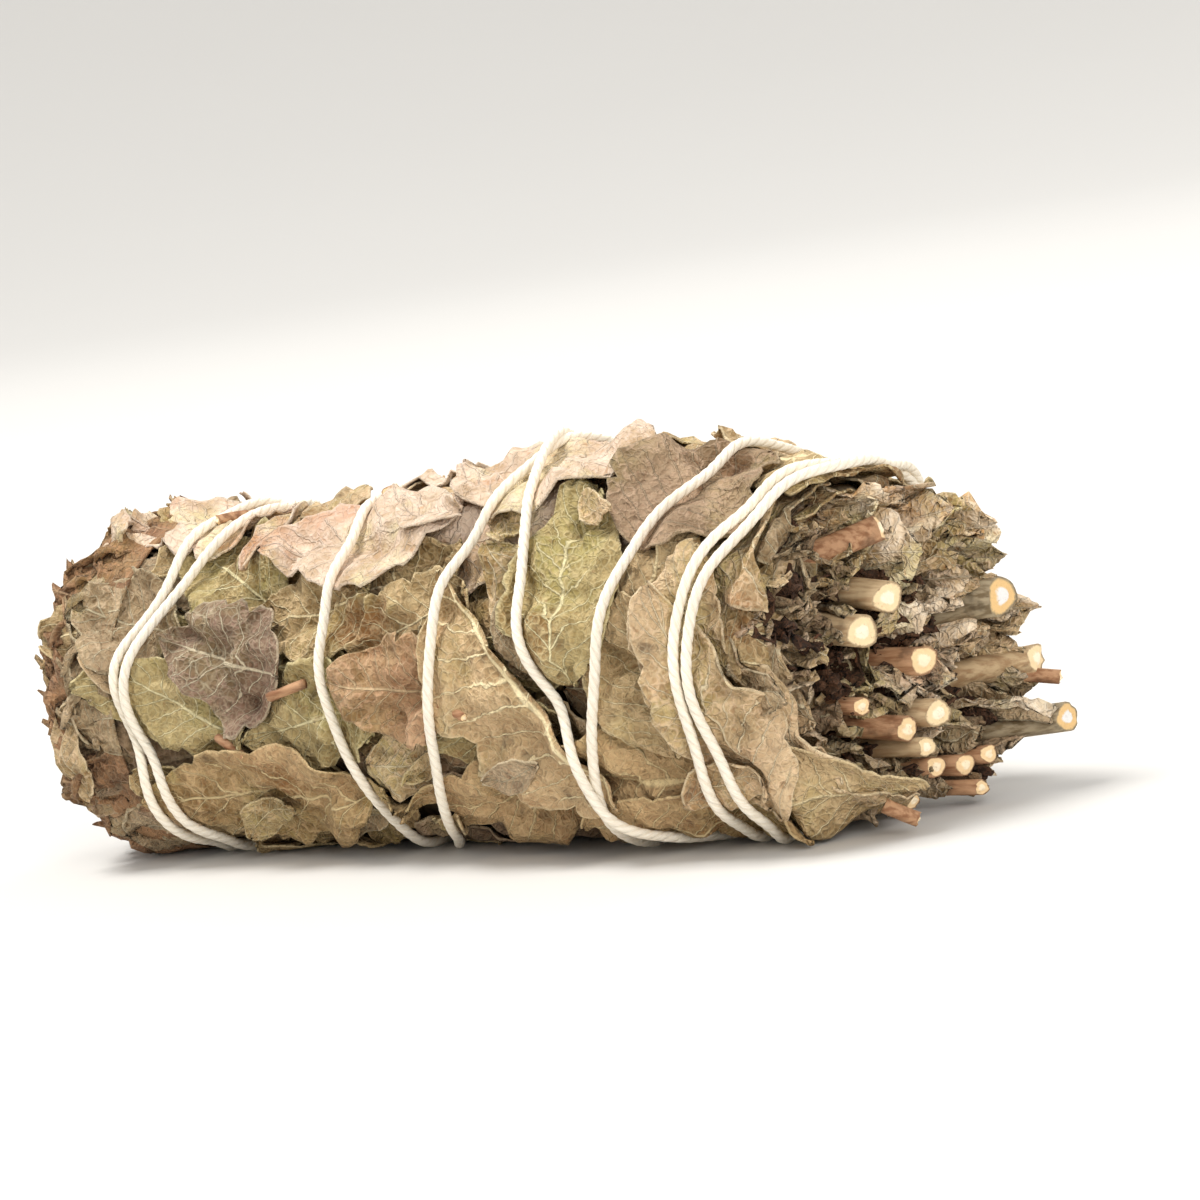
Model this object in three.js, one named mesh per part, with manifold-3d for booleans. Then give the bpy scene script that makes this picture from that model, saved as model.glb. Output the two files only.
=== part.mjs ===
// Sage bunch: leafy sage stems, dried in a tight bundle and wound with one cotton string.
// Millimetres, +Z up. The bunch lies along X on its flattened underside, with the cut stem
// ends towards +X and the leaf tips towards -X. Places on it are given by x and by the
// angle round it in degrees: 0 on top, 90 in front (-Y), 180 underneath, 270 behind (+Y).
import * as THREE from "three";
import { mergeVertices } from "three/addons/utils/BufferGeometryUtils.js";
import Module from "manifold-3d";

// Radius of the wound bundle along its length, as [x, radius]
const RADIUS_PROFILE = [
  [-54, 19.6],
  [-46, 19.5],
  [-34, 19.2],
  [-20, 19.3],
  [-6, 20.1],
  [8, 20.8],
  [22, 21.6],
  [34, 21.0],
  [44, 19.8],
  [52, 18.5],
];
const SETTLE = 1.2; // how much the round bundle is flattened where it lies
const CORE_DEPTH = { body: 4.9, nearEnd: 3.5 }; // how far inside the radius the packed leaves end
const CORE_RELIEF = 0.7; // depth of the folds in the packed leaves
const NEAR_FACE = 45; // x of the packed leaves' end among the stems
const NEAR_HOLLOW = 1.5; // how far that end dips in at its middle
const FAR_SHOULDER = -48; // x where the packed leaves begin to round off towards the tips
const FAR_END = -56; // x of their rounded end
const UNDERSIDE = { start: 124, full: 152 }; // angles between which the packed leaves come out to the radius

const BLADE = 0.65; // thickness of a leaf
const MIDRIB = 0.15; // how much thicker it is along its midrib
const GAP = 0.42; // air between a leaf and what it lies on
const LEAF_ROWS = 10;
const LEAF_COLUMNS = 4;
const SCALLOP = 0.07; // depth of a leaf's crenate edge, as a share of its width

const STRING = { diameter: 1.1, gap: 0.32, sides: 8, steps: 156, underHeight: 0.72 };
const KNOT = { x: 47.5, angle: 250, radius: 1.4, strand: 0.5, tail: 10 };

// The outer leaves from the innermost out: where the middle of the blade lies, the way its
// tip points on the unrolled surface (0 towards the cut ends, 90 down the front), its length and width
const INNER_LEAF = { length: 54, width: 25, firstAngle: 255, angleStep: 52.5, count: 5 };
const INNER_RINGS = [
  { x: -24, heading: 176 },
  { x: 24, heading: 4 },
];
const OUTER_LEAVES = [
  { x: -21, angle: 122, heading: 184, length: 38, width: 15, colour: 0x7d6a43 },
  { x: 3, angle: 96, heading: 196, length: 27, width: 15, colour: 0x8a6f58 },
  { x: -29, angle: 76, heading: 188, length: 27, width: 20, colour: 0x85805a },
  { x: 30, angle: 66, heading: -94, length: 28, width: 14, colour: 0x969065 },
  { x: 18.5, angle: 92, heading: -138, length: 32, width: 18, colour: 0x938660 },
  { x: 43.5, angle: 88, heading: -84, length: 30, width: 13, colour: 0x9a8a66 },
  { x: -11, angle: 24, heading: 176, length: 30, width: 17, colour: 0xb9ab92 },
  { x: 11, angle: 12, heading: 8, length: 28, width: 18, colour: 0xc2b59c },
  { x: 39, angle: 20, heading: 12, length: 29, width: 20, colour: 0x7b6c58 },
  { x: -37, angle: 12, heading: 170, length: 26, width: 18, colour: 0x8d8467 },
  { x: 40, angle: 318, heading: -12, length: 27, width: 19, colour: 0x8b7c58 },
  { x: -8, angle: 306, heading: 192, length: 34, width: 18, colour: 0x8e8463 },
  { x: 22, angle: 276, heading: 24, length: 32, width: 18, colour: 0x857a55 },
  { x: -33, angle: 262, heading: 158, length: 32, width: 18, colour: 0x7f7350 },
];
const INNER_COLOURS = [0x8a7b56, 0x938762, 0x7d7049, 0x9a8c68, 0x857a5b];

// The stems: the middle of the cut face, the place where the stem bends out of the leaves
// and its radius. Each runs on inside the leaves to about STEM_ROOT.
const STEM_ROOT = { x: -20, spread: 14, draw: 0.93, taper: 0.8 };
const STEM_SIDES = 7;
const STEMS = [
  { face: [54, -0.4, 23.5], neck: [47, -0.2, 24.6], radius: 1.6 },
  { face: [52.5, -3.6, 20.6], neck: [44, -4.2, 21.6], radius: 1.7 },
  { face: [53, 1.5, 30.5], neck: [46, -6.4, 28.2], radius: 1.35 },
  { face: [59, 13, 21], neck: [47, 9.5, 20.6], radius: 2 },
  { face: [54.5, 3.6, 16.2], neck: [47, 3, 16.6], radius: 1.5 },
  { face: [60, 16.3, 13.7], neck: [47, 9.6, 12.6], radius: 1.5, twig: [62, 17.2, 11.4] },
  { face: [52, -4.8, 13.1], neck: [45, -5.4, 13.6], radius: 0.9 },
  { face: [54, -0.3, 9.7], neck: [46, -2.2, 10.8], radius: 1.3 },
  { face: [55.5, 3.5, 10.6], neck: [47, 2.4, 11.2], radius: 1.45 },
  { face: [54.5, 2, 7.4], neck: [47, 1.2, 7.6], radius: 1 },
  { face: [54, 3.9, 4.9], neck: [47, 3.6, 4.6], radius: 1.05 },
  { face: [55.5, 7, 4.4], neck: [47, 6.6, 4.6], radius: 1.1 },
  { face: [57, 9.4, 5], neck: [47, 9.4, 5.6], radius: 0.95 },
  { face: [63, 15.8, 7], neck: [47, 8.3, 9], radius: 1.5 },
  { face: [57, 7.2, 1.9], neck: [47, 6, 2.2], radius: 0.8 },
  { face: [52.5, 1, 2], neck: [44, -1.5, 2.5], radius: 0.9 },
];
const STEM_HOLE_GAP = 0.3;
const TWIG = { radius: 0.8, start: 0.55 }; // a side twig leaves its stem at this share of neck to face

// Rolled leaf edges round the cut end, inside the outer leaves: the angles each spans,
// how deep inside the radius it lies and how far out it reaches
const ROLLED_EDGES = [
  { start: 40, end: 128, depth: 5.9, reach: 49.5 },
  { start: 84, end: 168, depth: 7.6, reach: 50.5 },
  { start: 192, end: 262, depth: 6.0, reach: 51 },
  { start: 276, end: 352, depth: 5.9, reach: 51.5 },
  { start: 338, end: 404, depth: 7.2, reach: 50 },
];
const LIP = { start: 146, end: 214, depth: 3, reach: 50.5 }; // the underside's leaves at the cut end
const CURLS = { tries: 90, root: 42.5, reach: 51, radius: 2.1, limit: 13.4, thickness: 0.65, apart: 0.5 };
const TIP_RINGS = [
  { count: 12, share: 0.7, reach: -58.5, width: 10 },
  { count: 7, share: 0.46, reach: -60, width: 9 },
  { count: 3, share: 0.2, reach: -59.5, width: 8 },
];
const TIP_FLARE = 0.25; // how far the tips spread once they are past the outer leaves
const TIP_ROOT = -47;

// The string's way, wound always down the front and up the back: for each turn the x that it
// passes at each angle. It starts and ends at the knot behind.
const STRING_TURNS = [
  [[-110, 47.5], [-80, 47.8], [-50, 48.3], [-25, 48.9], [0, 49.3], [30, 46.3], [75, 41], [100, 41.5],
    [130, 41], [160, 40.2], [190, 39.8], [220, 39.9], [260, 39.8], [310, 39.3]],
  [[0, 38.5], [20, 38.2], [50, 35], [85, 32], [120, 28.5], [150, 27], [180, 26], [220, 24], [280, 20.5],
    [330, 17.5]],
  [[0, 15.5], [20, 14.5], [45, 13], [60, 11], [80, 10.5], [100, 9], [120, 6.5], [140, 3], [165, -3],
    [185, -3.6], [205, -4], [220, -4.6], [235, -6.2], [250, -9], [270, -14.5], [300, -20.5], [330, -26.5],
    [352, -30]],
  [[20, -32], [45, -33.5], [70, -37], [90, -37.5], [110, -36.8], [140, -36], [180, -36], [220, -35.5],
    [265, -33.5], [310, -30], [340, -27.8]],
  [[5, -27.5], [25, -28.5], [45, -31], [72, -35], [88, -36], [110, -34.8], [140, -33], [180, -32],
    [220, -29.5], [260, -23], [300, -17.5], [340, -12]],
  [[15, -8.5], [40, -6.3], [60, -6.5], [80, -6.8], [100, -6], [120, -5.5], [140, -4.8], [155, -5.2],
    [180, -6.1], [205, -6.2], [220, -6.2], [235, -5], [250, -2.3], [275, 2.2], [300, 6], [335, 11.5]],
  [[0, 14.8], [15, 16.5], [35, 19], [55, 21.5], [75, 23], [95, 25.5], [115, 28], [130, 30], [145, 33],
    [190, 36.5], [240, 41], [290, 45.5], [320, 48.9], [345, 50.7]],
  [[0, 50.8], [30, 47.8], [75, 42.5], [100, 43], [140, 44.6], [165, 43], [190, 42.8], [220, 45], [250, 47.5]],
];
// Where a later turn rides over an earlier one, as [turn, angle]
const STRING_CROSSINGS = [
  [3, 336],
  [4, 290],
  [5, 232],
  [6, 6],
  [6, 118],
  [6, 233],
  [6, 315],
];
const CROSSING = { lift: 1.5, full: 10, clear: 26 }; // lift in mm, and its reach in degrees

const STEM_COLOUR = 0xb09474;
const STRING_COLOUR = 0xfcf0da;
const PACKED_COLOUR = 0x75674a;

const wasm = await Module();
wasm.setup();

const radians = THREE.MathUtils.degToRad;
const smooth = THREE.MathUtils.smoothstep;

// A repeatable random number from 0 to 1 for each seed
function chance(seed) {
  const wave = Math.sin(seed * 127.1 + 311.7) * 43758.5453;
  return wave - Math.floor(wave);
}

function radiusAt(x) {
  const last = RADIUS_PROFILE.length - 1;
  if (x <= RADIUS_PROFILE[0][0]) return RADIUS_PROFILE[0][1];
  if (x >= RADIUS_PROFILE[last][0]) return RADIUS_PROFILE[last][1];
  const index = RADIUS_PROFILE.findIndex(([place]) => place > x);
  const [before, radiusBefore] = RADIUS_PROFILE[index - 1];
  const [after, radiusAfter] = RADIUS_PROFILE[index];
  return THREE.MathUtils.lerp(radiusBefore, radiusAfter, smooth(x, before, after));
}

// A point on the bunch at x and angle, a rise above its radius, kept above the floor height
function bunchPoint(x, angle, rise, floor = 0) {
  const radius = radiusAt(x) + rise;
  const height = radiusAt(x) - SETTLE + radius * Math.cos(radians(angle));
  return new THREE.Vector3(x, -radius * Math.sin(radians(angle)), Math.max(height, floor));
}

// The way out from the axis at an angle
function outward(angle) {
  return new THREE.Vector3(0, -Math.sin(radians(angle)), Math.cos(radians(angle)));
}

// The packed leaves' surface as a rise over the radius: folded along the bunch, and full below
function coreRise(x, angle) {
  const folds = Math.sin(radians(angle * 7) + x * 0.09) * Math.sin(radians(angle * 4) - x * 0.13 + 1);
  const turned = THREE.MathUtils.euclideanModulo(angle, 360);
  const below = smooth(180 - Math.abs(turned - 180), UNDERSIDE.start, UNDERSIDE.full);
  const depth = THREE.MathUtils.lerp(CORE_DEPTH.body, CORE_DEPTH.nearEnd, smooth(x, 34, NEAR_FACE));
  const upper = -depth - CORE_RELIEF * (0.5 + 0.5 * folds);
  return THREE.MathUtils.lerp(upper, 0, below);
}

// The height of all that is laid so far, as a rise over the radius, on a grid round the bunch
const laid = {
  start: -64,
  step: 1,
  count: 132,
  angleStep: 3,
  angleCount: 120,
  rises: [],
  begin() {
    for (let i = 0; i < this.count; i += 1) {
      for (let j = 0; j < this.angleCount; j += 1) {
        this.rises.push(coreRise(this.start + i * this.step, j * this.angleStep));
      }
    }
  },
  place(x, angle) {
    const i = Math.round((x - this.start) / this.step);
    const j = THREE.MathUtils.euclideanModulo(Math.round(angle / this.angleStep), this.angleCount);
    return i * this.angleCount + j;
  },
  highest(x, angle, reach, angleReach) {
    let top = -Infinity;
    for (let dx = -reach; dx <= reach; dx += this.step) {
      for (let da = -angleReach; da <= angleReach; da += this.angleStep) {
        top = Math.max(top, this.rises[this.place(x + dx, angle + da)]);
      }
    }
    return top;
  },
  raise(x, angle, rise) {
    const place = this.place(x, angle);
    this.rises[place] = Math.max(this.rises[place], rise);
  },
};
laid.begin();

// A thin closed slab on a grid: pointAt(i, j, face) gives the corner in row i and column j of
// face 0 or 1. Both faces are split into triangles alike, so that they never cross. Rows run
// towards the cut end, columns with the angle, and face 1 is the outer one.
function slab(rows, columns, pointAt) {
  const positions = [];
  const faces = [];
  const corner = (i, j, face) => (face * (rows + 1) + i) * (columns + 1) + j;
  for (const face of [0, 1]) {
    for (let i = 0; i <= rows; i += 1) {
      for (let j = 0; j <= columns; j += 1) positions.push(...pointAt(i, j, face));
    }
  }
  for (let i = 0; i < rows; i += 1) {
    for (let j = 0; j < columns; j += 1) {
      for (const face of [0, 1]) {
        const [a, b, c, d] = [[i, j], [i + 1, j], [i + 1, j + 1], [i, j + 1]].map(([r, s]) => corner(r, s, face));
        if (face) faces.push(a, c, b, a, d, c);
        else faces.push(a, b, c, a, c, d);
      }
    }
  }
  const edge = [];
  for (let i = 0; i < rows; i += 1) edge.push([i, 0]);
  for (let j = 0; j < columns; j += 1) edge.push([rows, j]);
  for (let i = rows; i > 0; i -= 1) edge.push([i, columns]);
  for (let j = columns; j > 0; j -= 1) edge.push([0, j]);
  edge.forEach(([i, j], index) => {
    const [k, l] = edge[(index + 1) % edge.length];
    const [low, lowNext, highNext, high] = [corner(i, j, 0), corner(k, l, 0), corner(k, l, 1), corner(i, j, 1)];
    faces.push(low, highNext, lowNext, low, high, highNext);
  });
  const geometry = new THREE.BufferGeometry();
  geometry.setAttribute("position", new THREE.Float32BufferAttribute(positions, 3));
  geometry.setIndex(faces);
  return geometry;
}

// Moves every vertex of a geometry to where move(vertex) says
function reshaped(geometry, move) {
  const position = geometry.getAttribute("position");
  for (let index = 0; index < position.count; index += 1) {
    const moved = move(new THREE.Vector3().fromBufferAttribute(position, index));
    position.setXYZ(index, moved.x, moved.y, moved.z);
  }
  return geometry;
}

function toSolid(geometry) {
  const bare = geometry.clone();
  bare.deleteAttribute("normal");
  bare.deleteAttribute("uv");
  const merged = mergeVertices(bare, 1e-3);
  const vertProperties = new Float32Array(merged.getAttribute("position").array);
  const triVerts = new Uint32Array(merged.index.array);
  return new wasm.Manifold(new wasm.Mesh({ numProp: 3, vertProperties, triVerts }));
}

function toGeometry(solid) {
  const mesh = solid.getMesh();
  const geometry = new THREE.BufferGeometry();
  geometry.setAttribute("position", new THREE.BufferAttribute(new Float32Array(mesh.vertProperties), 3));
  geometry.setIndex(new THREE.BufferAttribute(new Uint32Array(mesh.triVerts), 1));
  return geometry;
}

function joined(geometries) {
  return geometries.map(toSolid).reduce((sum, next) => sum.add(next));
}

// The largest of the bodies that a cut leaves, without its loose scraps
function largest(solid) {
  return solid.decompose().reduce((best, next) => (next.volume() > best.volume() ? next : best));
}

// A tapered tube through stations, each with a place and a radius, round in section
function tubeThrough(stations, sides) {
  const last = stations.length - 1;
  const geometry = new THREE.CylinderGeometry(1, 1, 1, sides, last);
  return reshaped(geometry, (vertex) => {
    const index = Math.round((vertex.y + 0.5) * last);
    const { place, radius } = stations[index];
    const before = stations[Math.max(index - 1, 0)].place;
    const after = stations[Math.min(index + 1, last)].place;
    const along = after.clone().sub(before).normalize();
    const up = new THREE.Vector3(0, 0, 1);
    up.addScaledVector(along, -up.dot(along)).normalize();
    const side = up.clone().cross(along);
    return place.clone().addScaledVector(up, vertex.x * radius).addScaledVector(side, vertex.z * radius);
  });
}

// Half the width of a leaf, as a share of its widest, at a share of its length from the stalk
function leafHalfWidth(share) {
  const oval = Math.sin(Math.PI * share ** 0.85) ** 0.75;
  return Math.max(0.1, oval);
}

// An outer leaf, pressed onto what is laid already: it drapes over it at a steady gap
function outerLeaf({ x, angle, heading, length, width }, seed) {
  const turn = radians(heading);
  const degreesPerMillimetre = THREE.MathUtils.radToDeg(1 / radiusAt(x));
  const reach = 2;
  const angleReach = 3 * Math.ceil((width * degreesPerMillimetre) / LEAF_COLUMNS / 4.5);
  const places = [];
  for (let i = 0; i <= LEAF_ROWS; i += 1) {
    const share = i / LEAF_ROWS;
    const scallop = 1 + (i % 2 ? SCALLOP : -SCALLOP);
    for (let j = 0; j <= LEAF_COLUMNS; j += 1) {
      const across = (2 * j) / LEAF_COLUMNS - 1;
      const s = (share - 0.5) * length;
      const t = (across * leafHalfWidth(share) * scallop * width) / 2;
      const sway = Math.sin(share * 3 + seed) * 0.06 * width;
      const px = x + s * Math.cos(turn) - (t + sway) * Math.sin(turn);
      const pa = angle + (s * Math.sin(turn) + (t + sway) * Math.cos(turn)) * degreesPerMillimetre;
      const ruffle = 0.12 * Math.abs(across) * (1 + Math.sin(share * 14 + across * 2 + seed * 1.7));
      const thickness = BLADE + (j * 2 === LEAF_COLUMNS ? MIDRIB : 0);
      const under = laid.highest(px, pa, reach, angleReach) + GAP + ruffle;
      places.push({ px, pa, under, over: under + thickness });
    }
  }
  const at = (i, j) => places[i * (LEAF_COLUMNS + 1) + j];
  layLeaf(at);
  return slab(LEAF_ROWS, LEAF_COLUMNS, (i, j, face) => {
    const { px, pa, under, over } = at(i, j);
    return bunchPoint(px, pa, face ? over : under);
  });
}

// Marks a leaf's upper face on the height grid
function layLeaf(at) {
  const splits = 5;
  for (let i = 0; i < LEAF_ROWS; i += 1) {
    for (let j = 0; j < LEAF_COLUMNS; j += 1) {
      const corners = [at(i, j), at(i + 1, j), at(i, j + 1), at(i + 1, j + 1)];
      for (let a = 0; a <= splits; a += 1) {
        for (let b = 0; b <= splits; b += 1) {
          const [u, v] = [a / splits, b / splits];
          const weights = [(1 - u) * (1 - v), u * (1 - v), (1 - u) * v, u * v];
          const blend = (key) => corners.reduce((sum, corner, index) => sum + corner[key] * weights[index], 0);
          laid.raise(blend("px"), blend("pa"), blend("over"));
        }
      }
    }
  }
}

// The packed leaves: a folded body that rounds off among the tips and dips in among the stems
function packedCore() {
  const around = 32;
  const bands = 18;
  const endBands = 3;
  const geometry = new THREE.SphereGeometry(1, around, bands);
  return reshaped(geometry, (vertex) => {
    const band = Math.round((Math.acos(THREE.MathUtils.clamp(vertex.y, -1, 1)) / Math.PI) * bands);
    const angle = THREE.MathUtils.radToDeg(Math.atan2(-vertex.z, vertex.x));
    if (band < endBands) {
      const share = band / endBands;
      const rise = coreRise(NEAR_FACE, angle);
      const rim = bunchPoint(NEAR_FACE, angle, rise);
      const middle = new THREE.Vector3(NEAR_FACE - NEAR_HOLLOW, 0, radiusAt(NEAR_FACE) - SETTLE);
      return middle.lerp(rim, share);
    }
    if (band > bands - endBands) {
      const share = (bands - band) / endBands;
      const rim = bunchPoint(FAR_SHOULDER, angle, coreRise(FAR_SHOULDER, angle));
      const middle = new THREE.Vector3(FAR_END, 0, radiusAt(FAR_SHOULDER) - SETTLE);
      const roundedX = THREE.MathUtils.lerp(FAR_END, FAR_SHOULDER, 1 - Math.sqrt(1 - share * share));
      return middle.lerp(rim, share).setX(roundedX);
    }
    const share = (band - endBands) / (bands - 2 * endBands);
    const x = THREE.MathUtils.lerp(NEAR_FACE, FAR_SHOULDER, share);
    return bunchPoint(x, angle, coreRise(x, angle));
  });
}

// The underside's leaves where they end at the cut end
function undersideLip() {
  return slab(3, 8, (i, j, face) => {
    const angle = THREE.MathUtils.lerp(LIP.start, LIP.end, j / 8);
    const ragged = i === 3 ? 1.4 * chance(j + 40) : 0;
    const x = THREE.MathUtils.lerp(NEAR_FACE - 3, LIP.reach, i / 3) - ragged;
    const edge = Math.min(j, 8 - j) < 1 ? 0.6 : 0;
    return face ? bunchPoint(x, angle, -edge) : bunchPoint(x, angle, -LIP.depth, 2.4);
  });
}

function rolledEdge({ start, end, depth, reach }, seed) {
  const columns = 9;
  return slab(2, columns, (i, j, face) => {
    const angle = THREE.MathUtils.lerp(start, end, j / columns);
    const ragged = i === 2 ? 1.6 * chance(seed * 31 + j) : 0;
    const x = THREE.MathUtils.lerp(CURLS.root, reach, i / 2) - ragged;
    const wave = 0.5 * Math.sin(j * 1.9 + seed) * (i / 2);
    return bunchPoint(x, angle, -depth + wave + (face ? BLADE : 0), 0.2);
  });
}

// Where curled scraps of leaf fit at the cut end, clear of the stems and of each other
function curlPlaces() {
  const golden = 137.5;
  const axis = new THREE.Vector3(0, 0, radiusAt(NEAR_FACE) - SETTLE);
  const taken = STEMS.flatMap(({ face, neck, radius }) => [
    { centre: new THREE.Vector3(0, face[1], face[2]).sub(axis), radius: radius + STEM_HOLE_GAP },
    { centre: new THREE.Vector3(0, neck[1], neck[2]).sub(axis), radius: radius + STEM_HOLE_GAP },
  ]);
  const found = [];
  for (let index = 0; index < CURLS.tries; index += 1) {
    const distance = (CURLS.limit - CURLS.radius) * Math.sqrt((index + 0.5) / CURLS.tries);
    const centre = outward(index * golden).multiplyScalar(distance);
    const radius = CURLS.radius * (0.7 + 0.6 * chance(index + 19));
    const clear = [...taken, ...found].every((other) => {
      return centre.distanceTo(other.centre) > radius + other.radius + CURLS.apart;
    });
    if (clear) found.push({ centre, radius });
  }
  return found;
}

// A curled scrap of leaf that stands out of the cut end, rolled round its own middle
function curl({ centre, radius }, index) {
  const columns = 4;
  const roll = 150 + 90 * chance(index + 7);
  const startAngle = 360 * chance(index + 3);
  return slab(2, columns, (i, j, face) => {
    const angle = startAngle + (roll * j) / columns;
    const flare = 1 + 0.08 * i * Math.sin(j * 2.3 + index);
    const ragged = i === 2 ? 3 * chance(index * 17 + j) : 0;
    const x = THREE.MathUtils.lerp(CURLS.root, CURLS.reach + 2 * chance(index + 51), i / 2) - ragged;
    const place = outward(angle).multiplyScalar(radius * flare - (face ? 0 : CURLS.thickness));
    place.add(centre).add(new THREE.Vector3(x, 0, radiusAt(NEAR_FACE) - SETTLE));
    return place;
  });
}

// A ruffled leaf tip that stands out past the far end
function leafTip(ring, index) {
  const { count, share, reach, width } = ring;
  const rows = 3;
  const columns = 2;
  const seed = count * 13 + index;
  const middle = (360 * (index + 0.4 * chance(seed))) / count;
  const radius = radiusAt(FAR_SHOULDER) * share;
  const length = TIP_ROOT - reach - 3 * chance(seed + 5);
  return slab(rows, columns, (i, j, face) => {
    const out = i / rows;
    const across = 1 - (2 * j) / columns;
    const half = (width / 2) * Math.max(0.14, Math.cos((out * Math.PI) / 2.15)) * (1 + (i % 2 ? 0.12 : -0.12));
    const ruffle = 0.9 * out * Math.sin(across * 3.2 + out * 5 + seed) - out;
    const angle = middle + THREE.MathUtils.radToDeg((across * half) / radius);
    const spread = radius * TIP_FLARE * smooth(out, 0.33, 1);
    const height = radius + spread + ruffle + (face ? BLADE : 0);
    const place = outward(angle).multiplyScalar(height);
    return place.add(new THREE.Vector3(TIP_ROOT - length * out, 0, radiusAt(FAR_SHOULDER) - SETTLE));
  });
}

// The middle line of a stem from inside the bunch to its cut face
function stemStations({ face, neck, radius }, index, extra) {
  const [cut, bend] = [new THREE.Vector3(...face), new THREE.Vector3(...neck)];
  const axis = radiusAt(0) - SETTLE;
  const root = new THREE.Vector3(STEM_ROOT.x - STEM_ROOT.spread * chance(index + 2), bend.y, bend.z);
  root.y *= STEM_ROOT.draw;
  root.z = axis + (bend.z - axis) * STEM_ROOT.draw;
  const beforeBend = root.clone().lerp(bend, 0.94);
  const afterBend = bend.clone().lerp(cut, 0.25);
  return [
    { place: root, radius: radius * STEM_ROOT.taper + extra },
    { place: beforeBend, radius: radius * 0.97 + extra },
    { place: afterBend, radius: radius + extra },
    { place: cut, radius: radius * 1.04 + extra },
  ];
}

function stemGeometries(stem, index, extra = 0) {
  const pieces = [tubeThrough(stemStations(stem, index, extra), STEM_SIDES)];
  if (stem.twig) {
    const [cut, bend] = [new THREE.Vector3(...stem.face), new THREE.Vector3(...stem.neck)];
    const start = bend.lerp(cut, TWIG.start);
    const end = new THREE.Vector3(...stem.twig);
    const stations = [
      { place: start, radius: TWIG.radius + extra },
      { place: end, radius: TWIG.radius + extra },
    ];
    pieces.push(tubeThrough(stations, STEM_SIDES));
  }
  return pieces;
}

// The string's places, every few degrees of its winding, with its rise over the radius
function stringPlaces() {
  const scale = radians(1) * radiusAt(0);
  const corners = STRING_TURNS.flatMap((turn, index) =>
    turn.map(([angle, x]) => new THREE.Vector2((angle + 360 * index) * scale, x)),
  );
  const stringRadius = STRING.diameter / 2;
  const rest = STRING.gap + stringRadius + 0.15;
  const places = new THREE.SplineCurve(corners).getPoints(corners.length * 5).map((point) => {
    const angle = point.x / scale;
    return { x: point.y, angle, rise: laid.highest(point.y, angle, 1, 6) + rest };
  });
  const windowed = (values, pick) => values.map((value, i) => pick(values.slice(Math.max(0, i - 2), i + 3)));
  const peaks = windowed(places.map(({ rise }) => rise), (near) => Math.max(...near));
  const eased = windowed(peaks, (near) => near.reduce((sum, value) => sum + value, 0) / near.length);
  return places.map(({ x, angle }, index) => {
    const lift = STRING_CROSSINGS.reduce((most, [turn, at]) => {
      const away = Math.abs(angle - turn * 360 - at);
      return Math.max(most, CROSSING.lift * (1 - smooth(away, CROSSING.full, CROSSING.clear)));
    }, 0);
    return { x, angle, rise: eased[index] + lift };
  });
}

function stringTube(places, radius) {
  const points = places.map(({ x, angle, rise }) => bunchPoint(x, angle, rise, STRING.underHeight));
  const route = new THREE.CatmullRomCurve3(points);
  route.arcLengthDivisions = points.length * 6;
  const section = new THREE.Shape(new THREE.EllipseCurve(0, 0, radius, radius).getPoints(STRING.sides).slice(1));
  return new THREE.ExtrudeGeometry(section, { extrudePath: route, steps: STRING.steps });
}

// The knot behind, where both ends of the string meet, with its two short tails
function knotGeometries(rise) {
  const out = outward(KNOT.angle);
  const centre = bunchPoint(KNOT.x, KNOT.angle, rise + 0.5);
  const knot = new THREE.TorusKnotGeometry(KNOT.radius, KNOT.strand, 36, 6, 2, 3);
  knot.applyQuaternion(new THREE.Quaternion().setFromUnitVectors(new THREE.Vector3(0, 0, 1), out));
  knot.translate(centre.x, centre.y, centre.z);
  const tails = [-1, 1].map((side) => {
    const stations = [0, 0.35, 0.7, 1].map((share) => {
      const x = KNOT.x - side * 0.6 - KNOT.tail * share * 0.75;
      const angle = KNOT.angle + side * (4 + 22 * share);
      const lie = laid.highest(x, angle, 3, 12) + STRING.gap + STRING.diameter / 2;
      const height = THREE.MathUtils.lerp(rise + 0.3, lie, smooth(share, 0, 0.7));
      return { place: bunchPoint(x, angle, height), radius: STRING.diameter / 2 };
    });
    return tubeThrough(stations.reverse(), STRING.sides);
  });
  return [knot, ...tails];
}

const bunch = new THREE.Group();

function addPiece(name, geometry, color, roughness) {
  const piece = new THREE.Mesh(geometry, new THREE.MeshStandardMaterial({ color, roughness, metalness: 0 }));
  piece.name = name;
  bunch.add(piece);
}

const twoDigits = (index) => String(index + 1).padStart(2, "0");

// The outer leaves: two rings of long ones, then the ones that lie on them
const innerLeaves = INNER_RINGS.flatMap(({ x, heading }, ring) =>
  Array.from({ length: INNER_LEAF.count }, (_, index) => ({
    x: x + 3 * (chance(ring * 9 + index) - 0.5),
    angle: INNER_LEAF.firstAngle + INNER_LEAF.angleStep * index,
    heading: heading + 8 * (chance(ring * 5 + index + 60) - 0.5),
    length: INNER_LEAF.length,
    width: INNER_LEAF.width,
    colour: INNER_COLOURS[(index + 2 * ring) % INNER_COLOURS.length],
  })),
);
[...innerLeaves, ...OUTER_LEAVES].forEach((leaf, index) => {
  addPiece("wrap_leaf_" + twoDigits(index), outerLeaf(leaf, index), leaf.colour, 0.85);
});

const places = stringPlaces();
const string = joined([stringTube(places, STRING.diameter / 2), ...knotGeometries(places[0].rise)]);
addPiece("string", toGeometry(string), STRING_COLOUR, 0.9);

STEMS.forEach((stem, index) => {
  addPiece("stem_" + twoDigits(index), toGeometry(joined(stemGeometries(stem, index))), STEM_COLOUR, 0.8);
});

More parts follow.
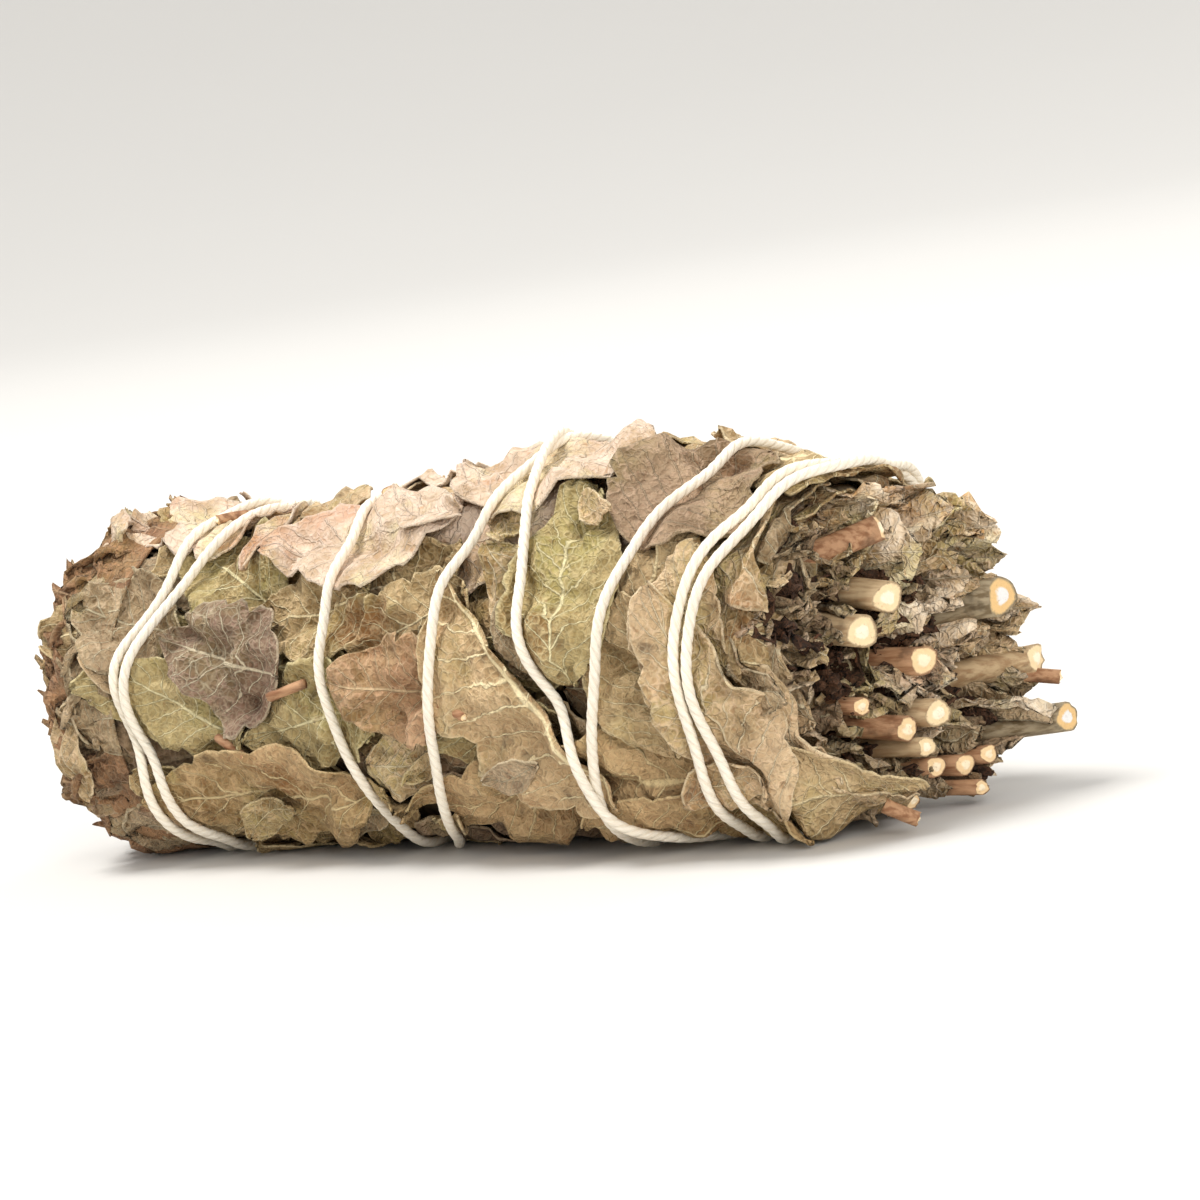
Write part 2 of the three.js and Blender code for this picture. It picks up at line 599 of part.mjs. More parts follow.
// The packed leaves, with their curled ends and tips, hollowed for the stems and the string
const tips = TIP_RINGS.flatMap((ring) => Array.from({ length: ring.count }, (_, index) => leafTip(ring, index)));
const curls = curlPlaces().map(curl);
const leaves = joined([packedCore(), undersideLip(), ...ROLLED_EDGES.map(rolledEdge), ...curls, ...tips]);
const stemHoles = joined(STEMS.flatMap((stem, index) => stemGeometries(stem, index, STEM_HOLE_GAP)));
const stringBed = toSolid(stringTube(places, STRING.diameter / 2 + STRING.gap));
const packed = largest(leaves.subtract(stemHoles).subtract(stringBed)).simplify(0.02);
addPiece("leaf_mass", toGeometry(packed), PACKED_COLOUR, 0.9);

// The origin is under the middle of the whole bunch
const box = new THREE.Box3().setFromObject(bunch);
const middle = box.getCenter(new THREE.Vector3());
bunch.position.set(-middle.x, -middle.y, -box.min.z);

export default bunch;
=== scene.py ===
import math

import bpy
import numpy as np
from mathutils import Matrix, Vector


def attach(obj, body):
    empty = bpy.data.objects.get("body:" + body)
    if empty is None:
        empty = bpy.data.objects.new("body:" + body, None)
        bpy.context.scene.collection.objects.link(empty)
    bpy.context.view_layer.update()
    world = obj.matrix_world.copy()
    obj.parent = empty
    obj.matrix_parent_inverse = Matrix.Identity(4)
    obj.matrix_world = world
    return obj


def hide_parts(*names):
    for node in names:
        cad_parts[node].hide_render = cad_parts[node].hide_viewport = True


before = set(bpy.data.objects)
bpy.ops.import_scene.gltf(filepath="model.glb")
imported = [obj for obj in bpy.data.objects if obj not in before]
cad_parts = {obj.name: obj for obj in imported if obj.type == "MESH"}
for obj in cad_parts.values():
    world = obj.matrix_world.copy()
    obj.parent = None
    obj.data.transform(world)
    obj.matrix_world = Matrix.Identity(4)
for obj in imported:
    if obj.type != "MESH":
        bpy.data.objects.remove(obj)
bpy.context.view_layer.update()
bpy.ops.object.select_all(action="DESELECT")
print("stage: frame loaded,", len(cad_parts), "nodes")

mm = 0.001
rng = np.random.default_rng(11)

# The bundle's own shape, in mm along x and in degrees round it: 0 on top, 90 in front, 180 below
bundle = dict(
    profile=[(-54, 19.6), (-46, 19.5), (-34, 19.2), (-20, 19.3), (-6, 20.1), (8, 20.8), (22, 21.6),
             (34, 21.0), (44, 19.8), (52, 18.5)],
    settle=1.2,            # how much it is flattened where it lies
    shift=(-2.03, 0.77),   # the middle of the bundle in the frame
    packedDepth=2.9,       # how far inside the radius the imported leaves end
    nearFace=44.0,
    farShoulder=-46.0,
    floorEase=1.5,         # below this height the leaves are pressed flat
    pull=0.75,             # how far the string sinks into the leaves
    tallest=3.2,           # no leaf stands further off the bundle than this
)
shift = np.array([*bundle["shift"], 0.0])


def pick(*names):
    return names[int(rng.integers(0, len(names)))]


def sRgb(r, g, b):
    values = [((c / 255 + 0.055) / 1.055) ** 2.4 if c > 10 else c / 255 / 12.92 for c in (r, g, b)]
    return (*values, 1.0)


def smoothStep(value, low, high):
    t = np.clip((value - low) / (high - low), 0, 1)
    return t * t * (3 - 2 * t)


def softLimit(value, most, ease):
    # stays below most, and bends towards it over a distance of about ease
    return most - ease * np.log1p(np.exp(np.clip((most - value) / ease, -30, 30)))


def unit(rows):
    return rows / np.linalg.norm(rows, axis=1)[:, None]


def radiusAt(x):
    places, radii = np.array(bundle["profile"]).T
    x = np.clip(x, places[0], places[-1])
    index = np.clip(np.searchsorted(places, x, side="right") - 1, 0, len(places) - 2)
    t = smoothStep(x, places[index], places[index + 1])
    return radii[index] * (1 - t) + radii[index + 1] * t


def bunchPoints(x, angle, rise):
    # x, angle and rise as arrays, out as metres
    radius = radiusAt(x) + rise
    y = -radius * np.sin(np.radians(angle))
    z = radiusAt(x) - bundle["settle"] + radius * np.cos(np.radians(angle))
    ease = bundle["floorEase"]
    z = np.where(z < ease, 0.1 + (ease - 0.1) * np.exp((np.minimum(z, ease) - ease) / (ease - 0.1)), z)
    return (np.stack([x, y, z], -1) + shift) * mm


def toMillimetres(points):
    return points / mm - shift


def roughNoise(u, v, seed):
    # smooth value noise from 0 to 1 on two coordinates
    iu, iv = np.floor(u), np.floor(v)
    fu, fv = u - iu, v - iv
    fu, fv = fu * fu * (3 - 2 * fu), fv * fv * (3 - 2 * fv)

    def corner(a, b):
        wave = np.sin((iu + a) * 127.1 + (iv + b) * 311.7 + seed * 74.7) * 43758.5453
        return wave - np.floor(wave)

    low = corner(0, 0) * (1 - fu) + corner(1, 0) * fu
    high = corner(0, 1) * (1 - fu) + corner(1, 1) * fu
    return low * (1 - fv) + high * fv


def creases(u, v, seed):
    # sharp folds: 1 on the crest, 0 in the troughs
    return 1 - np.abs(2 * roughNoise(u, v, seed) - 1)


# The string's way: for each turn the x that it passes at each angle
stringLook = dict(diameter=1.12, stepsPerTurn=330, sides=12, plies=3, twist=4.2, plyDepth=0.15)
stringTurns = [
    [(-110, 47.5), (-80, 47.8), (-50, 48.3), (-25, 48.9), (0, 49.3), (30, 46.3), (75, 41), (100, 41.5),
     (130, 41), (160, 40.2), (190, 39.8), (220, 39.9), (260, 39.8), (310, 39.3)],
    [(0, 38.5), (20, 38.2), (50, 35), (85, 32), (120, 28.5), (150, 27), (180, 26), (220, 24), (280, 20.5),
     (330, 17.5)],
    [(0, 15.5), (20, 14.5), (45, 13), (60, 11), (80, 10.5), (100, 9), (120, 6.5), (140, 3), (165, -3),
     (185, -3.6), (205, -4), (220, -4.6), (235, -6.2), (250, -9), (270, -14.5), (300, -20.5), (330, -26.5),
     (352, -30)],
    [(20, -32), (45, -33.5), (70, -37), (90, -37.5), (110, -36.8), (140, -36), (180, -36), (220, -35.5),
     (265, -33.5), (310, -30), (340, -27.8)],
    [(5, -27.5), (25, -28.5), (45, -31), (72, -35), (88, -36), (110, -34.8), (140, -33), (180, -32),
     (220, -29.5), (260, -23), (300, -17.5), (340, -12)],
    [(15, -8.5), (40, -6.3), (60, -6.5), (80, -6.8), (100, -6), (120, -5.5), (140, -4.8), (155, -5.2),
     (180, -6.1), (205, -6.2), (220, -6.2), (235, -5), (250, -2.3), (275, 2.2), (300, 6), (335, 11.5)],
    [(0, 14.8), (15, 16.5), (35, 19), (55, 21.5), (75, 23), (95, 25.5), (115, 28), (130, 30), (145, 33),
     (190, 36.5), (240, 41), (290, 45.5), (320, 48.9), (345, 50.7)],
    [(0, 50.8), (30, 47.8), (75, 42.5), (100, 43), (140, 44.6), (165, 43), (190, 42.8), (220, 45),
     (250, 47.5)],
]
# Where a later turn rides over an earlier one: turn, angle
stringCrossings = [(3, 336), (4, 290), (5, 232), (6, 6), (6, 118), (6, 233), (6, 315)]


def stringRoute():
    # angle and x of the string's middle, close together and smooth
    corners = [(angle + 360 * turn, x) for turn, places in enumerate(stringTurns) for angle, x in places]
    knots = np.array(corners, float)
    angles = np.arange(knots[0, 0], knots[-1, 0], 360 / stringLook["stepsPerTurn"])
    slope = np.gradient(knots[:, 1], knots[:, 0])
    index = np.clip(np.searchsorted(knots[:, 0], angles, side="right") - 1, 0, len(knots) - 2)
    span = knots[index + 1, 0] - knots[index, 0]
    t = (angles - knots[index, 0]) / span
    h00, h10 = 2 * t**3 - 3 * t**2 + 1, t**3 - 2 * t**2 + t
    h01, h11 = -2 * t**3 + 3 * t**2, t**3 - t**2
    xs = h00 * knots[index, 1] + h10 * span * slope[index] + h01 * knots[index + 1, 1]
    return angles, xs + h11 * span * slope[index + 1]


routeAngles, routeXs = stringRoute()


laidGrid = dict(low=-68, high=70, stepX=0.5, stepAngle=1.5)
mmPerDegree = 0.36


class LaidMap:
    # the height of all that is laid so far, as a rise over the radius, on a grid round the bundle

    def __init__(self, depth):
        self.xs = np.arange(laidGrid["low"], laidGrid["high"], laidGrid["stepX"])
        self.angles = np.arange(0, 360, laidGrid["stepAngle"])
        self.rises = np.full((len(self.xs), len(self.angles)), -depth)
        self.ceiling = np.full_like(self.rises, bundle["tallest"])

    def cell(self, x, angle):
        return (x - self.xs[0]) / laidGrid["stepX"], np.mod(angle, 360) / laidGrid["stepAngle"]

    def sample(self, grid, x, angle):
        i, j = self.cell(x, angle)
        i0 = np.clip(np.floor(i).astype(int), 0, len(self.xs) - 2)
        j0 = np.floor(j).astype(int) % len(self.angles)
        j1 = (j0 + 1) % len(self.angles)
        fi, fj = np.clip(i - i0, 0, 1), j - np.floor(j)
        low = grid[i0, j0] * (1 - fi) + grid[i0 + 1, j0] * fi
        high = grid[i0, j1] * (1 - fi) + grid[i0 + 1, j1] * fi
        return low * (1 - fj) + high * fj

    def under(self, x, angle):
        spread = self.rises
        for axis in (0, 1):
            spread = np.maximum.reduce([spread, np.roll(spread, 1, axis), np.roll(spread, -1, axis)])
        return self.sample(spread, x, angle)

    def cover(self, x, angle, rise):
        i, j = self.cell(finer(x), finer(angle))
        i = np.clip(np.round(i).astype(int), 0, len(self.xs) - 1)
        j = np.round(j).astype(int) % len(self.angles)
        np.maximum.at(self.rises, (i, j), finer(rise))

    def level(self, target, low, high):
        # how far the heap of leaves stands off the bundle's own shape, as wide soft hills
        inside = ((self.xs > low) & (self.xs < high))[:, None] * np.ones_like(self.rises)
        hills, weight = (self.rises - target) * inside, inside.copy()
        for _ in range(60):
            for grid in (hills, weight):
                grid[1:-1] = (grid[:-2] + 2 * grid[1:-1] + grid[2:]) / 4
                for _ in range(2):
                    grid[:] = (np.roll(grid, 1, 1) + 2 * grid + np.roll(grid, -1, 1)) / 4
        self.hills = hills / np.maximum(weight, 1e-4) * np.minimum(weight * 2, 1)
        self.rises -= self.hills

    def bind(self, angles, xs, bottoms):
        # the string's underside, which no leaf stands above, with the leaves bulging beside it
        self.ceiling = np.full_like(self.rises, bundle["tallest"])
        slope = np.gradient(xs, angles) / mmPerDegree
        for angle, x, bottom, steep in zip(angles, xs, bottoms, slope):
            i, j = (int(round(float(step))) for step in self.cell(x, angle))
            j = j % len(self.angles)
            row = slice(max(i - 14, 0), i + 15)
            away = np.abs(self.xs[row] - x) / math.hypot(1, steep)
            rest = bottom + np.maximum(away - 0.45, 0) * 1.1
            self.ceiling[row, j] = np.minimum(self.ceiling[row, j], rest)

    def held(self, x, angle, rise, ease=0.8):
        return softLimit(rise, self.sample(self.ceiling, x, angle), ease)


def finer(table, share=3):
    # a table of heights with more rows and columns between
    for axis in (0, 1):
        table = np.moveaxis(table, axis, 0)
        places = np.linspace(0, len(table) - 1, (len(table) - 1) * share + 1)
        index = np.minimum(places.astype(int), len(table) - 2)
        part = (places - index)[:, None]
        table = np.moveaxis(table[index] * (1 - part) + table[index + 1] * part, 0, axis)
    return table


laid = LaidMap(bundle["packedDepth"])
print("stage: string route", len(routeAngles), "points")


def plug(tree, slot, value):
    # a link or a plain value into a node's socket
    if isinstance(value, Wire):
        tree.links.new(value.socket, slot)
    elif value is not None:
        slot.default_value = value


class Wire:
    # a socket of a shader node that takes part in sums

    def __init__(self, tree, socket):
        self.tree, self.socket = tree, socket

    def math(self, operation, other=None, clamp=False, first=None):
        node = self.tree.nodes.new("ShaderNodeMath")
        node.operation, node.use_clamp = operation, clamp
        for slot, value in zip(node.inputs, (self if first is None else first, other)):
            plug(self.tree, slot, value)
        return Wire(self.tree, node.outputs[0])

    def __add__(self, other):
        return self.math("ADD", other)

    def __sub__(self, other):
        return self.math("SUBTRACT", other)

    def __mul__(self, other):
        return self.math("MULTIPLY", other)

    def __truediv__(self, other):
        return self.math("DIVIDE", other)

    def __pow__(self, other):
        return self.math("POWER", other)

    def __rsub__(self, other):
        return self.math("SUBTRACT", self, first=other)

    def __abs__(self):
        return self.math("ABSOLUTE")

    __radd__, __rmul__ = __add__, __mul__


class Shader:
    # one material's node tree

    def __init__(self, name):
        self.material = bpy.data.materials.new(name)
        self.material.use_nodes = True
        self.tree = self.material.node_tree
        self.surface = self.tree.nodes["Principled BSDF"]

    def node(self, kind, settings=None, output=0, **values):
        made = self.tree.nodes.new("ShaderNode" + kind)
        for key, value in (settings or {}).items():
            if key == "stops":
                ramp = made.color_ramp.elements
                while len(ramp) < len(value):
                    ramp.new(0.5)
                for element, (place, colour) in zip(ramp, value):
                    element.position, element.color = place, colour
            else:
                setattr(made, key, value)
        for key, value in values.items():
            slot = made.inputs[int(key[1:])] if key[1:].isdigit() else made.inputs[key.replace("_", " ")]
            plug(self.tree, slot, value)
        return Wire(self.tree, made.outputs[output])

    def mix(self, share, low, high, blend="MIX"):
        made = self.tree.nodes.new("ShaderNodeMix")
        made.data_type, made.blend_type = "RGBA", blend
        for slot, value in ((made.inputs[0], share), (made.inputs[6], low), (made.inputs[7], high)):
            plug(self.tree, slot, value)
        return Wire(self.tree, made.outputs[2])

    def over(self, share, low, high):
        # a mix towards a colour given as red, green and blue up to 255
        return self.mix(share, low, sRgb(*high))

    def step(self, value, low, high):
        settings = {"interpolation_type": "SMOOTHSTEP"}
        return self.node("MapRange", settings, Value=value, From_Min=low, From_Max=high)

    def noise(self, vector, scale, detail=4.0, roughness=0.55):
        settings = dict(Scale=scale, Detail=detail, Roughness=roughness)
        return self.node("TexNoise", None, 0, Vector=vector, **settings)

    def stretched(self, vector, scale):
        return self.node("Mapping", None, 0, Vector=vector, Scale=scale)

    def finish(self, **links):
        for key, value in links.items():
            plug(self.tree, self.surface.inputs[key.replace("_", " ")], value)
        return self.material


# Leaf colours: main, mottle, vein, and how strongly the veins stand out
leafColours = dict(
    olive=((160, 143, 104), (124, 107, 70), (232, 214, 170), 0.85),
    main=((166, 146, 108), (130, 110, 76), (240, 222, 178), 1.0),
    green=((152, 142, 94), (116, 108, 62), (226, 214, 168), 0.85),
    greyGreen=((147, 131, 104), (106, 92, 70), (208, 196, 164), 0.65),
    pale=((196, 182, 163), (172, 158, 146), (220, 207, 188), 0.3),
    dark=((130, 112, 90), (92, 77, 58), (176, 158, 128), 0.35),
    purple=((122, 102, 84), (88, 70, 56), (214, 200, 170), 0.8),
    pink=((160, 130, 98), (124, 102, 72), (210, 186, 146), 0.6),
    khaki=((182, 163, 127), (142, 124, 90), (230, 214, 178), 0.75),
    lower=((154, 131, 91), (120, 97, 60), (218, 196, 148), 0.75),
    tip=((136, 106, 74), (92, 68, 46), (184, 156, 122), 0.4),
    curlGrey=((178, 164, 140), (128, 114, 94), (210, 198, 172), 0.35),
    curlPale=((226, 210, 184), (188, 170, 142), (240, 228, 206), 0.35),
    # dark leaf bits, their near-black brown partly painted shade
    shadedCrumb=((66, 45, 27), (36, 23, 12), (132, 80, 48), 0.25),
)

leafTone = (1.13, 1.09, 1.08)  # brightens and warms them all
mottleTone = (1.00, 0.90, 0.73)
leafKinship = dict(shade=(158, 139, 102), share=0.3)  # draws them towards one colour


def toned(colour, tone, most=255):
    return tuple(min(most, int(c * k)) for c, k in zip(colour, tone))


def leafMaterial(name):
    # a dry felted leaf: crumpled and mottled, with thin pale veins and a fine net between them; painted
    # shade lies in the troughs of its crumples, and painted highlight on their crests and in broad random
    # patches
    main, mottle, vein, veinShare = leafColours[name]
    calm = 0.35 if name in ("pale", "curlPale") else 1.0
    share = leafKinship["share"] if name not in ("pale", "curlPale", "shadedCrumb", "purple", "tip") else 0.0
    main = [c * (1 - share) + k * share for c, k in zip(main, leafKinship["shade"])]
    mottle = [c * (1 - share) + k * 0.8 * share for c, k in zip(mottle, leafKinship["shade"])]
    main = toned(main, leafTone, 250)
    mottle = toned(mottle, mottleTone, 250)
    shade = Shader("leaf_" + name)
    place = shade.node("TexCoord", None, 3)
    flat = shade.node("UVMap", {"uv_map": "leafMap"}, 0)
    along = shade.node("SeparateXYZ", None, 0, Vector=flat)
    across = shade.node("SeparateXYZ", None, 1, Vector=flat)
    cloud = shade.noise(place, 210.0, 6.0, 0.65)
    patch = shade.noise(place, 75.0, 4.0)
    warm = shade.noise(shade.stretched(place, (-1.0, 1.2, 0.9)), 110.0, 3.0)
    wander = shade.noise(place, 300.0, 3.0) - 0.5
    side = abs(across * 2.0 - 1.0)

    # side veins run from the midrib towards the margin and the tip
    veinPlace = (along + wander * 0.035) * 9.0 - side ** 0.85 * 1.9 + wander * 0.6
    veinLine = abs(veinPlace.math("FRACT") - 0.5)
    veinWidth = 0.022 + (1.0 - side) * 0.026
    sideVein = 1.0 - shade.step(veinLine / veinWidth, 0.4, 1.6)
    sideVein = sideVein * (1.0 - shade.step(side, 0.72, 0.96))
    if name != "main":
        sideVein = sideVein * shade.step(patch, 0.3, 0.43)
    midrib = 1.0 - shade.step(side, 0.012, 0.04)
    veins = sideVein.math("MAXIMUM", midrib)
    warp = shade.node("VectorMath", {"operation": "MULTIPLY_ADD"}, 0, _0=shade.node(
        "TexNoise", None, 1, Vector=place, Scale=420.0), _1=(0.0012,) * 3, _2=place)
    net = shade.node("TexVoronoi", {"feature": "DISTANCE_TO_EDGE"}, 0, Vector=warp, Scale=480.0)
    fineNet = shade.node("TexVoronoi", {"feature": "DISTANCE_TO_EDGE"}, 0, Vector=warp, Scale=1300.0)
    netLine = (1.0 - shade.step(net, 0.0, 0.07)) * shade.step(warm, 0.48, 0.62)
    fineLine = 1.0 - shade.step(fineNet, 0.0, 0.2)

    # crumples: sharp ridges at two sizes, with painted shade in the troughs and a painted highlight on the
    # crests
    ridge = 1.0 - abs(shade.noise(place, 330.0, 2.0) * 2.0 - 1.0) * 2.6
    smallRidge = 1.0 - abs(shade.noise(place, 820.0, 2.0) * 2.0 - 1.0) * 2.4
    colour = shade.mix(shade.step(cloud, 0.36, 0.64), sRgb(*main), sRgb(*mottle))
    leafy, browned = toned(main, (0.96, 1.0, 0.84)), toned(mottle, (1.04, 0.85, 0.70))
    # lit and shaded copies of the leaf colour, for painted highlight and painted shade
    lit, shaded = toned(main, (1.17, 1.18, 1.26)), toned(mottle, (0.43, 0.35, 0.24))
    sunned = shade.noise(place, 52.0, 3.0)
    specks = shade.noise(place, 900.0, 2.0)
    for amount, tint in (
        (shade.step(warm, 0.5, 0.66) * 0.65, leafy),
        (shade.step(patch, 0.53, 0.68) * 0.7, browned),
        # painted highlight in broad random patches
        (shade.step(sunned, 0.47, 0.66) * (0.55 * calm), lit),
        # painted shade in the troughs of the crumples at two sizes, then a painted highlight on the large
        # crests
        (shade.step(ridge, 0.45, -0.5) * (0.62 * calm), shaded),
        (shade.step(smallRidge, 0.3, -0.6) * (0.34 * calm), shaded),
        (shade.step(ridge, 0.8, 1.0) * (0.55 * calm), lit),
        (netLine * veinShare * 0.45, vein),
        (fineLine * 0.16, vein),
        (veins * veinShare, vein),
        (shade.step(side, 0.95, 1.0) * 0.4, vein),
        (shade.step(specks, 0.64, 0.72) * 0.4, browned),
    ):
        colour = shade.over(amount, colour, tint)
    felt = shade.noise(place, 3800.0, 3.0, 0.7)
    height = veins * 0.35 + netLine * 0.25 + fineLine * 0.16 + felt * 0.1
    height = height + ridge * (0.8 * calm) + smallRidge * (0.3 * calm)
    bump = shade.node("Bump", None, 0, Strength=1.0, Distance=0.00055, Height=height)
    return shade.finish(Base_Color=colour, Roughness=0.8 + felt * 0.15, Normal=bump)


def packedShadeMaterial():
    shade = Shader("packed_leaves")
    place = shade.node("TexCoord", None, 3)
    cloud = shade.noise(place, 260.0, 6.0)
    # two dark browns: painted shade in the gaps between the leaves outside, where this mass shows
    colour = shade.mix(shade.step(cloud, 0.4, 0.65), sRgb(40, 28, 16), sRgb(92, 72, 44))
    bump = shade.node("Bump", None, 0, Strength=0.9, Distance=0.0008, Height=cloud)
    return shade.finish(Base_Color=colour, Roughness=0.75 + cloud * 0.2, Normal=bump)


def stemMaterial(name, bark, streak, wood, pith):
    # bark in lengthwise streaks, and the cut face in rings: pith, wood and a brown rim
    shade = Shader("stem_" + name)
    place = shade.node("TexCoord", None, 3)
    cut = shade.node("Attribute", {"attribute_name": "cutFace"}, 2)
    ring = shade.node("Attribute", {"attribute_name": "ringShare"}, 2)
    lengthwise = shade.noise(shade.stretched(place, (0.12, 1.0, 1.0)), 1500.0, 5.0)
    blotch = shade.noise(place, 320.0, 4.0)
    colour = shade.mix(shade.step(lengthwise, 0.38, 0.66), sRgb(*bark), sRgb(*streak))
    deepStreak = toned(streak, (0.55, 0.55, 0.55))
    colour = shade.over(shade.step(blotch, 0.55, 0.72) * 0.6, colour, deepStreak)
    grain = shade.noise(place, 2600.0, 3.0)
    wavyRing = ring + (grain - 0.5) * 0.22
    face = shade.mix(shade.step(wavyRing, 0.34, 0.52), sRgb(*pith), sRgb(*wood))
    face = shade.mix(shade.step(wavyRing, 0.78, 0.97), face, sRgb(*[int(c * 0.8) for c in bark]))
    face = shade.mix(shade.step(grain, 0.6, 0.75) * 0.35, face, sRgb(150, 112, 70))
    colour = shade.mix(cut, colour, face)
    height = lengthwise * (1.0 - cut) + grain * cut * 0.7
    bump = shade.node("Bump", None, 0, Strength=0.8, Distance=0.00025, Height=height)
    return shade.finish(Base_Color=colour, Roughness=0.68 + blotch * 0.2, Normal=bump)


def stringMaterial():
    # cotton: three plies with a groove between them, painted shade in each groove, and fibres along each
    shade = Shader("cotton_string")
    place = shade.node("TexCoord", None, 3)
    flat = shade.node("UVMap", {"uv_map": "leafMap"}, 0)
    ply = shade.node("SeparateXYZ", None, 0, Vector=flat)
    groove = abs(ply.math("FRACT") - 0.5) * 2.0
    groove = 1.0 - groove
    # how deep in the groove a point lies: for the bump, and for the painted shade below
    deep = shade.step(groove, 0.45, 1.0)
    fibres = shade.noise(shade.stretched(flat, (9.0, 900.0, 1.0)), 1.0, 3.0, 0.7)
    fuzz = shade.noise(place, 3600.0, 4.0, 0.7)
    soil = shade.noise(place, 90.0, 3.0)
    colour = shade.mix(shade.step(fibres, 0.3, 0.7), sRgb(255, 249, 236), sRgb(242, 230, 208))
    # painted shade: a darker colour in the grooves between the plies
    colour = shade.mix(deep * 0.25, colour, sRgb(222, 204, 174))
    colour = shade.mix(shade.step(soil, 0.52, 0.8) * 0.3, colour, sRgb(206, 184, 150))
    height = (1.0 - deep) * 0.5 + fibres * 0.4 + fuzz * 0.5
    bump = shade.node("Bump", None, 0, Strength=0.9, Distance=0.0002, Height=height)
    return shade.finish(Base_Color=colour, Roughness=0.8 + fuzz * 0.15, Normal=bump)


leafMaterials = {name: leafMaterial(name) for name in leafColours}
stemMaterials = [
    stemMaterial("tan", (198, 172, 134), (160, 128, 92), (240, 214, 170), (252, 238, 212)),
    stemMaterial("rust", (184, 142, 106), (136, 92, 60), (240, 208, 160), (250, 232, 200)),
    stemMaterial("grey", (166, 150, 122), (112, 94, 66), (226, 188, 130), (232, 230, 228)),
]
packedShadeFinish = packedShadeMaterial()
stringFinish = stringMaterial()
print("stage: materials", len(bpy.data.materials))


def pointsOf(piece):
    places = np.zeros(len(piece.data.vertices) * 3)
    piece.data.vertices.foreach_get("co", places)
    return places.reshape(-1, 3)


def finishPiece(piece, material, slot, *nodes):
    # the piece takes its material and its place in the frame
    piece.data.materials.clear()
    piece.data.materials.append(material)
    piece.data.polygons.foreach_set("use_smooth", [True] * len(piece.data.polygons))
    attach(piece, "root")
    if nodes:
        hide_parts(*nodes)
    piece.select_set(False)
    return piece


def editMesh(*steps):
    # runs each step on the whole mesh of the active object, and turns its faces outward
    bpy.ops.object.mode_set(mode="EDIT")
    for step, values in (*steps, (bpy.ops.mesh.normals_make_consistent, dict(inside=False))):
        bpy.ops.mesh.select_all(action="SELECT")
        step(**values)
    bpy.ops.object.mode_set(mode="OBJECT")


def gridPiece(name, rows, columns):
    # a flat grid to be shaped, with its points in rows and columns
    bpy.ops.mesh.primitive_grid_add(x_subdivisions=columns, y_subdivisions=rows, size=1)
    piece = bpy.context.object
    piece.name = piece.data.name = name
    piece.data.uv_layers[0].name = "leafMap"
    corners = pointsOf(piece)
    order = np.lexsort((corners[:, 0], corners[:, 1])).reshape(rows + 1, columns + 1)
    return piece, order, corners[order, 1] + 0.5, corners[order, 0] * 2


def placePoints(piece, order, points, mapU, mapW):
    # puts the grid's points in place and writes the map that the finish follows
    mesh = piece.data
    places = np.zeros((order.size, 3))
    places[order.ravel()] = points.reshape(-1, 3)
    mesh.vertices.foreach_set("co", places.ravel())
    flat = np.zeros((order.size, 2))
    flat[order.ravel()] = np.stack([mapU.ravel(), mapW.ravel()], -1)
    loopVerts = np.zeros(len(mesh.loops), int)
    mesh.loops.foreach_get("vertex_index", loopVerts)
    mesh.uv_layers["leafMap"].data.foreach_set("uv", flat[loopVerts].ravel())
    mesh.update()


def shapeLeaf(piece, order, u, w, points, thickness):
    placePoints(piece, order, points, u, (w + 1) / 2)
    solid = piece.modifiers.new("thickness", "SOLIDIFY")
    solid.thickness, solid.offset = thickness * mm, -1
    bpy.context.view_layer.objects.active = piece
    bpy.ops.object.modifier_apply(modifier="thickness")


# The big leaves that wrap the bundle
wrapLook = dict(thickness=0.26, gap=0.04, veinRise=0.10, pucker=0.16, crease=0.85, fine=0.30, edgeLift=0.7,
                teeth=0.045, tear=0.22, uneven=0.16)


def veinField(u, w):
    # where the raised veins are, to match the painted ones
    side = np.abs(w)
    place = u * 9.0 - side**0.85 * 1.9
    line = np.abs(place - np.floor(place) - 0.5)
    return np.exp(-((line / 0.09) ** 2)) * (1 - smoothStep(side, 0.7, 0.95)), place


plannedLeaves = []


